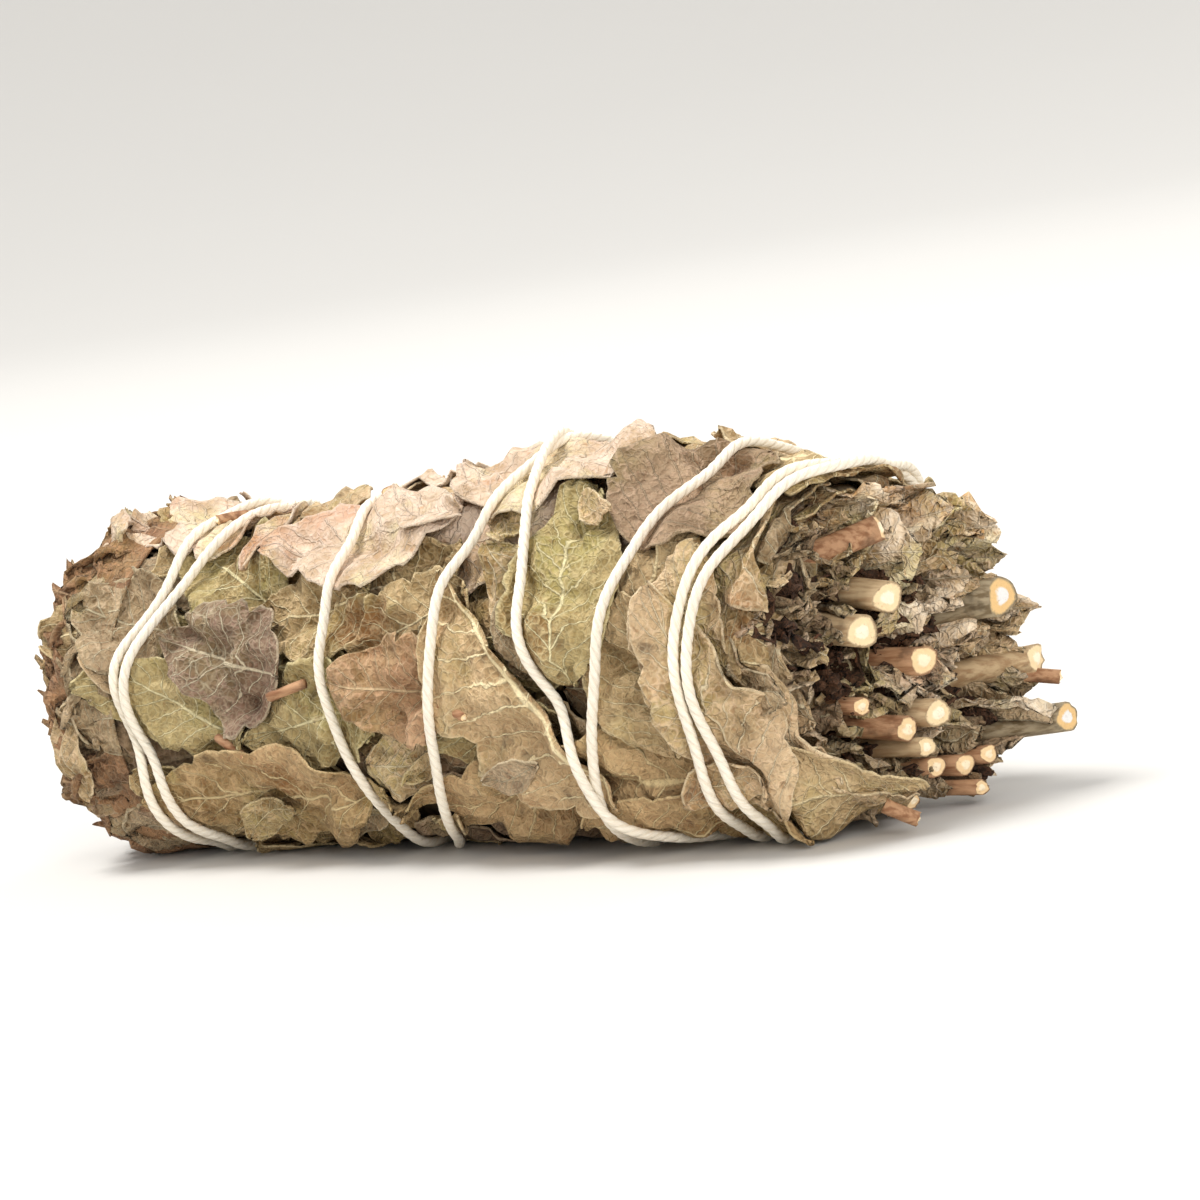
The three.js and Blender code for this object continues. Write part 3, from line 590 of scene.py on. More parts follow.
def planLeaf(name, spec, *nodes):
    # lays a leaf on what is there already: its outline, folds, veins and ragged edge
    look = wrapLook
    rows, columns = spec.get("grid", (44, 26))
    piece, order, u, w = gridPiece(name, rows, columns)
    seed = spec["seed"]
    shown = spec.get("span", (-1.0, 1.0))
    w = shown[0] + (w + 1) / 2 * (shown[1] - shown[0])
    blunt = spec.get("blunt", 0.0)
    share = 0.5 - 0.5 * np.cos(np.pi * u)
    half = np.sin(np.pi * share**0.82) ** 0.72
    half = half * (1 - blunt) + blunt * np.sqrt(np.clip(1 - (1 - np.minimum(share * 2.5, 1)) ** 2, 0, 1))
    half = half * (1 + look["uneven"] * (2 * roughNoise(share * 3 + seed, np.sign(w) + seed, seed + 2) - 1))
    half = np.maximum(half, 0.03) * spec["width"] / 2
    wave = 1 + look["teeth"] * np.abs(np.sin(share * np.pi * spec["length"] / 1.7 + seed))
    ragged = wave - look["tear"] * creases(share * 6 + seed, np.sign(w) * 3 + seed, seed) ** 4
    edge = np.abs(w) ** 3
    t = w * half * (1 - edge + edge * ragged)
    s = (share - 0.5) * spec["length"]
    s = s + edge * 0.8 * (roughNoise(share * 12, w * 2, seed + 3) - 0.5)
    bend = spec.get("bend", 0.0) * ((share - 0.5) ** 2 - 0.1) * spec["length"]
    turn = math.radians(spec["heading"])
    perDegree = np.degrees(1 / float(radiusAt(spec["x"])))
    x = spec["x"] + s * math.cos(turn) - (t + bend) * math.sin(turn)
    angle = spec["angle"] + (s * math.sin(turn) + (t + bend) * math.cos(turn)) * perDegree

    base = laid.under(x, angle)
    rise = base.copy()
    for _ in range(spec.get("stiff", 4)):
        padded = np.pad(rise, 1, mode="edge")
        beside = padded[:-2, 1:-1] + padded[2:, 1:-1] + padded[1:-1, :-2] + padded[1:-1, 2:]
        rise = np.maximum((beside + rise * 2) / 6, base)

    veins, place = veinField(share, w)
    side = np.abs(w)
    pucker = np.abs(np.sin(np.pi * place)) * (1 - side**4)
    a, b = s * 0.22 + seed * 3.1, t * 0.26 + seed * 1.7
    fold = creases(a + 0.5 * roughNoise(b * 2, a, seed), b, seed) ** 3
    fine = creases(s * 0.55 + seed, t * 0.6 + seed, seed + 9) ** 2
    rough = spec.get("rough", 1.0) * (1 + 1.4 * smoothStep(-x, 36, 47))
    lift = spec.get("lift", look["edgeLift"]) * side**4 * roughNoise(share * 6 + seed, np.sign(w), seed + 5)
    lift = lift + spec.get("tipLift", 0.2) * share**8 + spec.get("baseLift", 0.0) * (1 - share) ** 8
    rise = rise + look["gap"] + look["thickness"]
    rise = rise + rough * (look["crease"] * fold + look["fine"] * fine) + look["pucker"] * pucker + lift
    rise = rise - 0.25 * np.maximum(x - 47.5, 0)
    laid.cover(x, angle, rise)
    rise = rise + look["veinRise"] * veins + 0.12 * np.exp(-((w / 0.05) ** 2))
    plannedLeaves.append((piece, order, share, w, x, angle, rise, spec["colour"], nodes))


def finishLeaf(piece, order, share, w, x, angle, rise, colour, nodes):
    rise = rise - laid.sample(laid.hills, x, angle)
    points = bunchPoints(x, angle, laid.held(x, angle, rise))
    shapeLeaf(piece, order, share, w, points, wrapLook["thickness"])
    finishPiece(piece, leafMaterials[colour], "outer_leaves", *nodes)


def leaf(x, angle, heading, length, width, colour, **more):
    return dict(x=x, angle=angle, heading=heading, length=length, width=width, colour=colour, **more)


# Rings of long leaves under the others, then the leaves that show, from the innermost out
innerRings = [dict(x=-24, heading=176), dict(x=20, heading=4)]
innerColours = ["olive", "lower", "greyGreen", "olive", "dark"]
innerLeaves = [
    leaf(ring["x"], 255 + 52.5 * i, ring["heading"] + rng.uniform(-5, 5), 54, 26,
         innerColours[(i + 2 * r) % 5], seed=i + 7 * r, grid=(38, 20))
    for r, ring in enumerate(innerRings) for i in range(5)
]
shownLeaves = [
    ("wrap_leaf_11", leaf(-22, 122, 184, 32, 14, "lower")),
    ("wrap_leaf_12", leaf(3, 89, 192, 18, 12, "pink", lift=0.9)),
    ("wrap_leaf_13", leaf(-22, 73, 196, 19, 14, "purple", rough=0.7)),
    ("wrap_leaf_14", leaf(27, 60, -94, 24, 13, "green", rough=1.3)),
    ("wrap_leaf_15", leaf(20, 90, -127, 33, 24, "main", rough=0.4,
                          span=(-1.0, 0.06), lift=0.7, stiff=12, grid=(64, 38))),
    ("wrap_leaf_16", leaf(43, 98, -112, 26, 11, "khaki", rough=0.7)),
    ("wrap_leaf_17", leaf(-5, 35, 176, 28, 15, "pale")),
    ("wrap_leaf_18", leaf(18, 14, 8, 30, 18, "pale")),
    ("wrap_leaf_19", leaf(38.5, 24, -72, 20, 17, "dark", rough=0.5, stiff=10)),
    ("wrap_leaf_20", leaf(-35, 10, 170, 24, 16, "pale")),
    ("wrap_leaf_21", leaf(38, 322, -12, 24, 18, "khaki")),
    ("wrap_leaf_22", leaf(-8, 306, 192, 32, 17, "pale")),
    ("wrap_leaf_23", leaf(20, 276, 24, 30, 17, "olive")),
    ("wrap_leaf_24", leaf(-31, 262, 158, 30, 17, "greyGreen")),
]
extraLeaves = [
    leaf(-26, 38, 212, 21, 14, "green"),
    leaf(-38, 58, 190, 15, 12, "greyGreen"),
    leaf(-11, 60, 178, 22, 12, "olive"),
    leaf(5, 70, 160, 18, 10, "olive"),
    leaf(-10, 96, 172, 22, 12, "green"),
    leaf(16, 107, 190, 20, 12, "green"),
    leaf(30, 122, 186, 24, 14, "lower"),
    leaf(12, 128, 178, 26, 12, "lower"),
    leaf(25, 70, -60, 18, 12, "greyGreen"),
    leaf(37, 56, -70, 18, 12, "olive"),
    leaf(36, 90, -100, 18, 12, "olive"),
    leaf(41, 74, -82, 18, 10, "khaki"),
    leaf(-29, 88, 210, 19, 12, "green", rough=0.6),
    leaf(36, 140, 8, 26, 12, "lower"),
]
# Long leaves below that sweep out past the cut end to their own stalks
sweptLeaves = [
    leaf(45, 146, -150, 26, 12, "khaki", tipLift=0.6),
    leaf(47, 122, -128, 27, 11, "khaki", rough=0.6),
    leaf(49, 133, -136, 26, 10, "olive", rough=0.6),
]


# Steps that spread numbered leaves evenly, round the bundle and along it
evenRound, evenX = 0.7549, 0.5698


def fillLeaves(count):
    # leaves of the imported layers, spread evenly round the whole bundle by a rule
    places = []
    for index in range(count):
        angle = 360 * (index * evenRound % 1)
        x = -37 + 76 * (index * evenX % 1)
        away = 180 if x < 0 else 0
        colour = pick("olive", "lower", "green", "greyGreen", "khaki", "olive")
        if angle < 50 or angle > 325:
            colour = pick("pale", "greyGreen", "khaki")
        if 125 < angle < 235:
            colour = pick("lower", "dark", "olive")
        size = rng.uniform(15, 27)
        places.append(leaf(x, angle, away + rng.uniform(-50, 50), size, size * rng.uniform(0.5, 0.75),
                           colour, seed=100 + index, bend=rng.uniform(-0.6, 0.6), grid=(30, 18),
                           rough=1.45))
    return places


def scraps(count, turned):
    # torn bits of leaf that lie on the others at all angles
    places = []
    for index in range(count):
        angle = (360 * (index * evenRound % 1) + turned) % 360
        colour = pick("olive", "greyGreen", "khaki")
        if angle < 50 or angle > 325:
            colour = pick("pale", "khaki", "olive")
        size = rng.uniform(5, 11)
        x = -46 + 90 * (index * evenX % 1)
        places.append(leaf(x, angle, rng.uniform(0, 360), size, size * rng.uniform(0.3, 0.55), colour,
                           seed=400 + index, bend=rng.uniform(-1, 1), grid=(14, 10), lift=1.0, rough=0.65))
    return places


rimLook = dict(count=21, layers=3, x=35.5, length=22, width=20, further=5.0)


def rimLeaves():
    places = []
    for index in range(rimLook["count"]):
        layer = index * rimLook["layers"] // rimLook["count"]
        perLayer = rimLook["count"] // rimLook["layers"]
        angle = 360 * (index % perLayer) / perLayer + 23 * layer
        further = rimLook["further"] * (0.5 + 0.5 * math.cos(math.radians(angle + 25))) ** 2
        x = rimLook["x"] + rng.uniform(-1.5, 1.0) + 0.4 * layer + further / 2
        places.append(leaf(x, angle, rng.uniform(-8, 8), rimLook["length"] + further, rimLook["width"],
                           pick("khaki", "olive", "greyGreen"), blunt=0.85, seed=300 + index, rough=0.6,
                           grid=(30, 26), tipLift=rng.uniform(-0.5, 0.6) + 0.45 * further))
    return places


for index, spec in enumerate(innerLeaves):
    planLeaf(f"inner_leaf_{index + 1:02d}", spec, f"wrap_leaf_{index + 1:02d}")
for index, spec in enumerate(rimLeaves()):
    planLeaf(f"rim_leaf_{index + 1:02d}", spec)
for index, spec in enumerate(fillLeaves(54)):
    planLeaf(f"fill_leaf_{index + 1:02d}", spec)
for index, spec in enumerate(scraps(40, 100)):
    planLeaf(f"low_scrap_{index + 1:02d}", spec)
for index, spec in enumerate(sweptLeaves):
    planLeaf(f"swept_leaf_{index + 1:02d}", dict(seed=280 + index, **spec))
for index, spec in enumerate(extraLeaves):
    planLeaf(f"side_leaf_{index + 1:02d}", dict(seed=200 + index, **spec))
for index, (node, spec) in enumerate(shownLeaves):
    planLeaf(node.replace("wrap", "outer"), dict(seed=240 + index, **spec), node)
for index, spec in enumerate(scraps(16, 20)):
    planLeaf(f"top_scrap_{index + 1:02d}", dict(spec, seed=460 + index))
print("stage: leaves laid", len(plannedLeaves))


laid.level(0.2, -50, 46.5)


def settleString():
    # the string's height on the leaves, pulled tight, with a lift where it crosses itself
    lie = laid.sample(laid.rises, routeXs, routeAngles)
    peaks = np.array([lie[max(0, i - 3):i + 4].max() for i in range(len(lie))])
    reach = np.arange(-24, 25)
    weights = np.exp(-((reach / 10.0) ** 2))
    eased = np.convolve(np.pad(peaks, 24, mode="edge"), weights / weights.sum(), "valid")
    eased = np.maximum(eased, -0.6)
    lift = np.zeros_like(eased)
    for turn, angle in stringCrossings:
        away = np.abs(routeAngles - turn * 360 - angle)
        lift = np.maximum(lift, stringLook["diameter"] * 0.95 * (1 - smoothStep(away, 5, 24)))
    return eased + lift + stringLook["diameter"] / 2 - bundle["pull"]


stringRise = settleString()
laid.bind(routeAngles, routeXs, stringRise - stringLook["diameter"] * 0.42)
for plan in plannedLeaves:
    finishLeaf(*plan)


# The imported leaves inside, crumpled, in dark browns that are painted shade for the gaps where they show
packedLook = dict(rings=60, around=96, crumple=1.2, domeReach=6.0)


def packedLeaves():
    look = packedLook
    bpy.ops.mesh.primitive_uv_sphere_add(segments=look["around"], ring_count=look["rings"], radius=1)
    piece = bpy.context.object
    piece.name = piece.data.name = "packed_leaves"
    corners = pointsOf(piece)
    pole = np.arccos(np.clip(corners[:, 2], -1, 1)) / np.pi
    angle = np.degrees(np.arctan2(-corners[:, 1], corners[:, 0]))
    endShare = 0.2
    near = np.clip(pole / endShare, 0, 1)
    far = np.clip((1 - pole) / endShare, 0, 1)
    middle = np.clip((pole - endShare) / (1 - 2 * endShare), 0, 1)
    x = bundle["nearFace"] + middle * (bundle["farShoulder"] - bundle["nearFace"])
    crumple = creases(x * 0.35, np.sin(np.radians(angle)) * 6, 5) * look["crumple"]
    shrink = np.minimum(near, np.sqrt(1 - (1 - far) ** 2))
    x = x - look["domeReach"] * (1 - np.sqrt(1 - (1 - far) ** 2)) + 1.2 * (near < 1) * (crumple - 1)
    radius = (radiusAt(x) - bundle["packedDepth"] - crumple * 0.7) * shrink
    hills = np.minimum(laid.sample(laid.hills, x, angle), 2.5) * shrink
    points = bunchPoints(x, angle, radius - radiusAt(x) - hills)
    piece.data.vertices.foreach_set("co", points.ravel())
    piece.data.update()
    return finishPiece(piece, packedShadeFinish, "packed_leaves", "leaf_mass")


packedLeaves()


# Ruffled tips at the far end
tipThickness = 0.26
tipParts = ("count", "radius", "reach", "width", "root", "flare")
tipRings = [dict(zip(tipParts, ring)) for ring in (
    (19, 19.3, -47.5, 9, -39.5, 0.6),
    (21, 18.5, -49.5, 9, -41, 0.9),
    (22, 17.0, -50.0, 8.5, -43, 1.2),
    (19, 14.8, -52.5, 8.5, -43, 1.6),
    (16, 12.3, -55, 8.5, -44, 2.0),
    (12, 9.3, -57.5, 8, -45, 2.0),
    (8, 6, -58.5, 7.5, -46, 1.8),
    (4, 2.6, -58, 7, -46, 1.2),
)]


def tipLeaf(name, ring, index):
    piece, order, u, w = gridPiece(name, 18, 18)
    seed = ring["count"] * 17 + index
    middle = 360 * (index + rng.uniform(-0.3, 0.3)) / ring["count"]
    length = ring["root"] - ring["reach"] + rng.uniform(-2.0, 1.2)
    half = ring["width"] / 2 * np.sqrt(np.clip(1 - np.clip((u - 0.6) / 0.4, 0, 1) ** 2.5, 0.05, 1))
    half = half * (1 - 0.25 * creases(u * 5 + seed, np.sign(w) * 2, seed) ** 3)
    x = ring["root"] - length * u * (1 - 0.12 * np.abs(w) ** 2)
    wave = np.sin(w * 7 + seed) + 0.7 * np.sin(w * 13 + u * 3 + seed * 2)
    fold = creases(u * 4 + seed, w * 3.5, seed) - 0.5
    radius = ring["radius"] + ring["flare"] * u**2 + u**1.5 * (0.75 * wave + 1.5 * fold)
    angle = middle + np.degrees(w * half / max(ring["radius"], 4)) + 5 * u * np.cos(w * 9 + seed)
    x = x + 0.8 * u * np.cos(w * 11 + seed) + 0.8 * u * fold
    points = bunchPoints(x, angle, radius - radiusAt(x))
    shapeLeaf(piece, order, u, w, points, tipThickness)
    colour = pick("tip", "tip", "tip", "greyGreen", "lower", "tip")
    return finishPiece(piece, leafMaterials[colour], "packed_leaves")


for ringIndex, ring in enumerate(tipRings):
    for index in range(ring["count"]):
        tipLeaf(f"tip_leaf_{ringIndex + 1}_{index + 1:02d}", ring, index)
print("stage: far tips")

# The stems: middle of the cut face, the place where each bends out of the leaves, radius and bark
stemLook = dict(root=21.0, spread=2.0, draw=0.93, taper=0.8, sides=22, rings=34, slope=0.5)
stemParts = ("face", "neck", "radius", "bark", "twig")
stems = [dict(zip(stemParts, row)) for row in (
    ((54, -0.4, 23.5), (47, -0.2, 24.6), 1.6, 0),
    ((52.5, -3.6, 20.6), (44, -4.2, 21.6), 1.7, 0),
    ((53, 1.5, 30.5), (46, -6.4, 28.2), 1.35, 1),
    ((59, 13, 21), (47, 9.5, 20.6), 2.0, 2),
    ((54.5, 3.6, 16.2), (47, 3, 16.6), 1.5, 1),
    ((60, 16.3, 13.7), (47, 9.6, 12.6), 1.5, 0, (62, 17.2, 11.4)),
    ((52, -4.8, 13.1), (45, -5.4, 13.6), 0.9, 1),
    ((54, -0.3, 9.7), (46, -2.2, 10.8), 1.3, 1),
    ((55.5, 3.5, 10.6), (47, 2.4, 11.2), 1.45, 0),
    ((54.5, 2, 7.4), (47, 1.2, 7.6), 1.0, 0),
    ((54, 3.9, 4.9), (47, 3.6, 4.6), 1.05, 1),
    ((55.5, 7, 4.4), (47, 6.6, 4.6), 1.1, 1),
    ((57, 9.4, 5), (47, 8.7, 4.4), 0.95, 1),
    ((63, 15.8, 7.4), (47, 10.9, 6.6), 1.5, 2),
    ((57, 7.2, 1.9), (47, 6, 2.2), 0.8, 1),
    ((52.5, 1, 2), (44, -1.5, 2.5), 0.9, 1),
)]


def bentPath(points, count):
    # a smooth line through points, as count places
    points = np.array(points, float)
    lengths = np.r_[0, np.cumsum(np.linalg.norm(np.diff(points, axis=0), axis=1))]
    places = np.linspace(0, lengths[-1], count * 3)
    line = np.stack([np.interp(places, lengths, points[:, k]) for k in range(3)], -1)
    for _ in range(12):
        line[1:-1] = (line[:-2] + 2 * line[1:-1] + line[2:]) / 4
    return line[np.linspace(0, len(line) - 1, count).astype(int)]


def rod(name, path, radii, sides, seed, slope=0.0):
    # a round rod along a path, extruded ring by ring, with a ringed cut face
    bpy.ops.object.select_all(action="DESELECT")
    bpy.ops.mesh.primitive_circle_add(vertices=sides, radius=1, fill_type="NGON")
    piece = bpy.context.object
    piece.name = piece.data.name = name
    bpy.ops.object.mode_set(mode="EDIT")
    bpy.ops.mesh.select_all(action="SELECT")
    for _ in range(len(path) - 1):
        bpy.ops.mesh.extrude_region_move(TRANSFORM_OT_translate={"value": (0, 0, 1)})
    for inset in (0.12, 0.3, 0.3):
        bpy.ops.mesh.inset(thickness=inset, depth=0)
    bpy.ops.mesh.poke()
    editMesh()
    corners = np.array([tuple(v.co) for v in piece.data.vertices])
    ring = np.clip(np.round(corners[:, 2]).astype(int), 0, len(path) - 1)
    along = unit(np.gradient(path, axis=0))
    up = unit(np.array([0, 0, 1.0]) - along * along[:, 2:3])
    sideways = np.cross(along, up)
    out = np.hypot(corners[:, 0], corners[:, 1])
    turn = np.arctan2(corners[:, 1], corners[:, 0])
    bumps = roughNoise(np.cos(turn) * 1.5 + seed, np.sin(turn) * 1.5 + ring * 0.12, seed) - 0.5
    knobbly = 1 + 0.10 * bumps + 0.08 * np.cos(3 * turn + seed)
    size = radii[ring] * knobbly * np.minimum(out, 1)
    isFace = (ring == len(path) - 1)
    points = path[ring] + sideways[ring] * (size * np.cos(turn))[:, None]
    points += up[ring] * (size * np.sin(turn))[:, None]
    rough = roughNoise(corners[:, 0] * 3 + seed, corners[:, 1] * 3, seed) - 0.5
    points += along[ring] * (isFace * (0.35 * rough + 0.18 * (out < 0.4)))[:, None]
    slant = np.clip(1 - (len(path) - 1 - ring) / 3, 0, 1) * slope
    points += along[ring] * (slant * (points - path[ring])[:, 1])[:, None]
    piece.data.vertices.foreach_set("co", ((points + shift) * mm).ravel())
    for key, values in (("cutFace", (isFace & (out < 0.97)).astype(float)), ("ringShare", out)):
        layer = piece.data.attributes.new(key, "FLOAT", "POINT")
        layer.data.foreach_set("value", values.astype(np.float32))
    piece.data.update()
    return piece


def makeStem(index, spec):
    look = stemLook
    cut, bend = np.array(spec["face"], float), np.array(spec["neck"], float)
    axis = float(radiusAt(0)) - bundle["settle"]
    root = np.array([look["root"] - rng.uniform(0, look["spread"]), bend[1] * look["draw"],
                     axis + (bend[2] - axis) * look["draw"]])
    path = bentPath([root, root + (bend - root) * 0.94, bend + (cut - bend) * 0.25, cut], look["rings"])
    swell = 1 + 0.10 * np.exp(-((np.arange(len(path)) - len(path) * 0.72) / 1.6) ** 2)
    radii = np.linspace(look["taper"], 1.02, len(path)) * spec["radius"] * swell
    piece = rod(f"cut_stem_{index + 1:02d}", path, radii, look["sides"], index, look["slope"])
    finishPiece(piece, stemMaterials[spec["bark"]], "stems", f"stem_{index + 1:02d}")
    if "twig" in spec:
        start = bend + (cut - bend) * 0.55
        twigPath = bentPath([start, (start + np.array(spec["twig"])) / 2, spec["twig"]], 10)
        twig = rod("stem_twig", twigPath, np.full(10, 0.75), 14, 40)
        finishPiece(twig, stemMaterials[1], "stems")
    return piece


for index, spec in enumerate(stems):
    makeStem(index, spec)
print("stage: stems")

# Stalk ends and broken bits of stem that show among the leaves: x, angle, heading, length, radius, rise
stalkBits = [
    (-12, 85, 170, 5.0, 0.55, 0.2),
    (-22, 101, 30, 4.5, 0.5, 0.5),
    (-6, 14, 60, 3.0, 0.7, 0.5),
    (57, 152, 50, 4.0, 0.8, -2.2),
    (12, 96, 20, 4.0, 0.45, 0.5),
    (-30, 14, 120, 3.5, 0.6, 0.8),
]
for index, (x, angle, heading, length, radius, rise) in enumerate(stalkBits):
    share, turn = np.linspace(-0.5, 0.5, 8), math.radians(heading)
    xs = x + share * length * math.cos(turn)
    angles = angle + share * length * math.sin(turn) / mmPerDegree
    path = toMillimetres(bunchPoints(xs, angles, rise + 0.8 * (share + 0.5)))
    bit = rod(f"stalk_bit_{index + 1}", path, np.full(8, radius), 14, 60 + index)
    finishPiece(bit, stemMaterials[1], "stems")

# Layers of leaf edges inside the rim at the cut end, as in a cut cabbage
layerLook = dict(thickness=0.26, root=38.0, shallowest=2.7)
# Rings of such leaves: how many, how deep under the rim, and how far out they reach
layerRings = [(6, 1.8, 47.6), (5, 3.4, 48.8), (5, 5.0, 47.4), (4, 6.6, 48.8), (4, 8.2, 47.8)]
# Rolled ones: angle, degrees spanned, depth at one edge and at the other, reach
rolledLeaves = [(78, 100, 3.2, 7.5, 49.0), (128, 90, 2.6, 6.5, 50.0), (300, 110, 3, 8, 50.5)]


def layerLeaf(name, middle, span, outer, inner, reach, seed, colour):
    # a leaf on edge between the others, from one depth under the rim to another
    piece, order, u, w = gridPiece(name, 16, 36)
    angle = middle + w * span / 2
    away = creases(w * 3 + seed, u * 0.5, seed) - 0.5
    x = layerLook["root"] + (reach + 2.0 * away - layerLook["root"] - 1.4 * np.abs(w) ** 4) * u
    depth = outer + (inner - outer) * (w + 1) / 2
    fold = creases(w * 4 + seed, u * 1.5, seed + 1) - 0.5
    depth = np.maximum(depth, layerLook["shallowest"]) + u**2 * (1.5 * fold + 0.8 * away)
    points = bunchPoints(x, angle, -depth)
    shapeLeaf(piece, order, u, w, points, layerLook["thickness"])
    return finishPiece(piece, leafMaterials[colour], "packed_leaves")


for ringIndex, (count, deep, reach) in enumerate(layerRings):
    for index in range(count):
        middle = 360 * (index + 0.37 * ringIndex + rng.uniform(-0.15, 0.15)) / count
        colour = pick("khaki", "olive", "greyGreen", "curlGrey")
        layerLeaf(f"layer_leaf_{ringIndex + 1}_{index + 1}", middle, 400 / count, deep - 0.5, deep + 0.7,
                  reach + rng.uniform(-0.8, 0.8), 600 + ringIndex * 10 + index, colour)
for index, rolled in enumerate(rolledLeaves):
    layerLeaf(f"rolled_leaf_{index + 1}", *rolled, 680 + index, "khaki")

# Curled scraps and crumbs among the stems at the cut end; the near-black brown of the crumbs is partly
# their own and partly painted shade between the stems
curlLook = dict(thickness=0.24, scraps=124, low=30, crumbs=50, limit=16.0, inside=1.9, ease=0.5)


def curlLeaf(name, centre, root, reach, width, roll, lean, seed, colour, spin=None, narrows=0.6,
             folds=1.0):
    # a dry leaf rolled about its own length, standing out of the cut end
    piece, order, u, w = gridPiece(name, 15, 12)
    length = reach - root
    angle = w * roll / 2 * (0.6 + 0.4 * u)
    radius = width / max(roll, 0.3) * (1 + 0.25 * np.sin(u * 4 + seed))
    across = np.sin(angle) * radius
    deep = (1 - np.cos(angle)) * radius
    half = np.sqrt(np.clip(1 - np.clip((u - narrows) / (1 - narrows), 0, 1) ** 3, 0.12, 1))
    across, deep = across * half, deep * half
    crumple = [(creases(u * 4 + seed * k, w * 2.4 + k, seed + k) - 0.5) * (0.3 + u) * folds
               for k in (1, 2, 3)]
    spin = rng.uniform(0, 2 * math.pi) if spin is None else spin
    y = centre[0] + across * math.cos(spin) - deep * math.sin(spin) + crumple[0] * 1.1 + lean[0] * u**2
    z = centre[1] + across * math.sin(spin) + deep * math.cos(spin) + crumple[1] * 1.1 + lean[1] * u**2
    x = root + length * u + crumple[2] * 1.0 - 0.12 * length * np.abs(w) ** 2 * u
    axis = radiusAt(x) - bundle["settle"]
    out = np.hypot(y, z - axis) + 1e-6
    most = radiusAt(x) - curlLook["inside"] + 1.3 * np.maximum(x - 51, 0)
    kept = softLimit(out, most, curlLook["ease"])
    y, z = y * kept / out, axis + (z - axis) * kept / out
    points = (np.stack([x, y, np.maximum(z, 0.4)], -1) + shift) * mm
    shapeLeaf(piece, order, u, w, points, curlLook["thickness"])
    return finishPiece(piece, leafMaterials[colour], "packed_leaves")


def nearestStem(y, z):
    return min(stems, key=lambda s: math.hypot(y - s["face"][1], z - s["face"][2]))


def farFromStems(y, z, room):
    return all(math.hypot(y - s["face"][1], z - s["face"][2]) > s["radius"] + room
               and math.hypot(y - s["neck"][1], z - s["neck"][2]) > s["radius"] + room * 0.6 for s in stems)


# Larger folded leaves that stand round the stems: y and z of the middle, how far out it reaches, width,
# roll, how it leans in y and z, turn about its own length, colour
collarLeaves = [
    (5.5, 29, 54.5, 9.5, 1.3, 1.5, 0.5, 0.4, "curlPale"),
    (8.2, 25.0, 57.5, 8, 1.1, 1.0, -1.6, 4.9, "curlPale"),
    (11, 30, 56.0, 9, 1.6, 1.5, 1.0, 3.6, "curlPale"),
    (2, 33, 53.5, 9, 1.4, 0.5, 1.0, 5.6, "curlPale"),
    (3.0, 27.6, 56.0, 8.5, 0.9, 1.0, 0.0, 4.71, "curlPale"),
    (8.0, 30.5, 57.0, 7.5, 1.1, 1.0, 0.2, 4.4, "curlPale"),
    (13.2, 12.0, 60.0, 6, 1.3, 0.6, 0.2, 4.9, "curlGrey"),
    (12.6, 5.6, 59.5, 5.5, 1.5, 1.2, 0.6, 4.2, "curlGrey"),
    (8.5, 33, 55.0, 8, 1.8, 1.0, 0.6, 0.2, "curlGrey"),
    (14.5, 27.5, 58.0, 7.5, 1.5, 0.8, 0.4, 4.9, "curlPale"),
    (16.5, 18.5, 60.5, 6, 2.0, 0.8, 0.5, 2.0, "curlPale"),
    (9.5, 18.5, 57.5, 6, 2.0, 0.4, 0.2, 3.8, "curlPale"),
    (12.5, 10.0, 58.5, 6.5, 1.8, 0.6, -0.2, 5.4, "greyGreen"),
    (6.5, 13.5, 56.0, 6.5, 1.9, 0.4, 0.3, 1.2, "curlPale"),
    (4.8, 8.2, 54.5, 4.5, 2.2, 0.2, 0.2, 4.0, "curlPale"),
    (8.5, 7.6, 56.5, 5, 1.8, 0.5, 0.3, 2.4, "curlGrey"),
    (12.5, 6.5, 58.5, 6, 1.9, 0.8, -0.4, 0.8, "dark"),
    (10.5, 4.5, 57.5, 5.5, 2.1, 0.8, -0.3, 3.4, "greyGreen"),
    (7.5, 2.6, 56.5, 5, 1.6, 0.6, 0.1, 5.9, "dark"),
    (4.5, 2.4, 54.8, 5, 1.8, 0.2, 0.1, 4.6, "curlGrey"),
    (1.5, 3.0, 53.5, 5, 1.7, 0.0, 0.1, 3.0, "dark"),
    (14.8, 10.5, 59.5, 5.5, 2.0, 0.6, 0.3, 1.6, "dark"),
    (11, 8, 57.0, 4.5, 2.6, 0.6, 0.2, 5.0, "shadedCrumb"),
    (9.0, 3.0, 57.0, 3.5, 2.8, 0.5, 0.2, 1.9, "shadedCrumb"),
    (15.5, 24, 58.0, 7, 1.8, 0.8, 0.5, 1.0, "curlGrey"),
    (12, 16.5, 57.0, 8, 2.2, 0.6, 0.6, 4.4, "curlGrey"),
    (8, 16, 55.0, 8, 1.5, 0.2, -1.4, 5.3, "curlGrey"),
    (5.5, 20.5, 53.5, 7, 2.4, 0.8, 0.2, 0.9, "curlPale"),
    (10.5, 10.5, 55.5, 7, 2.0, 1.2, -0.6, 2.9, "greyGreen"),
    (6, 34, 52.0, 7, 2.4, 0.8, 0.4, 3.0, "curlGrey"),
    (-3.5, 27, 50.5, 7.5, 1.5, -0.4, 0.6, 5.9, "curlGrey"),
    (-2.5, 17.5, 50.5, 6.5, 1.8, -0.2, 0.4, 0.3, "curlGrey"),
]
axisHeight = float(radiusAt(48)) - bundle["settle"]
made = 0
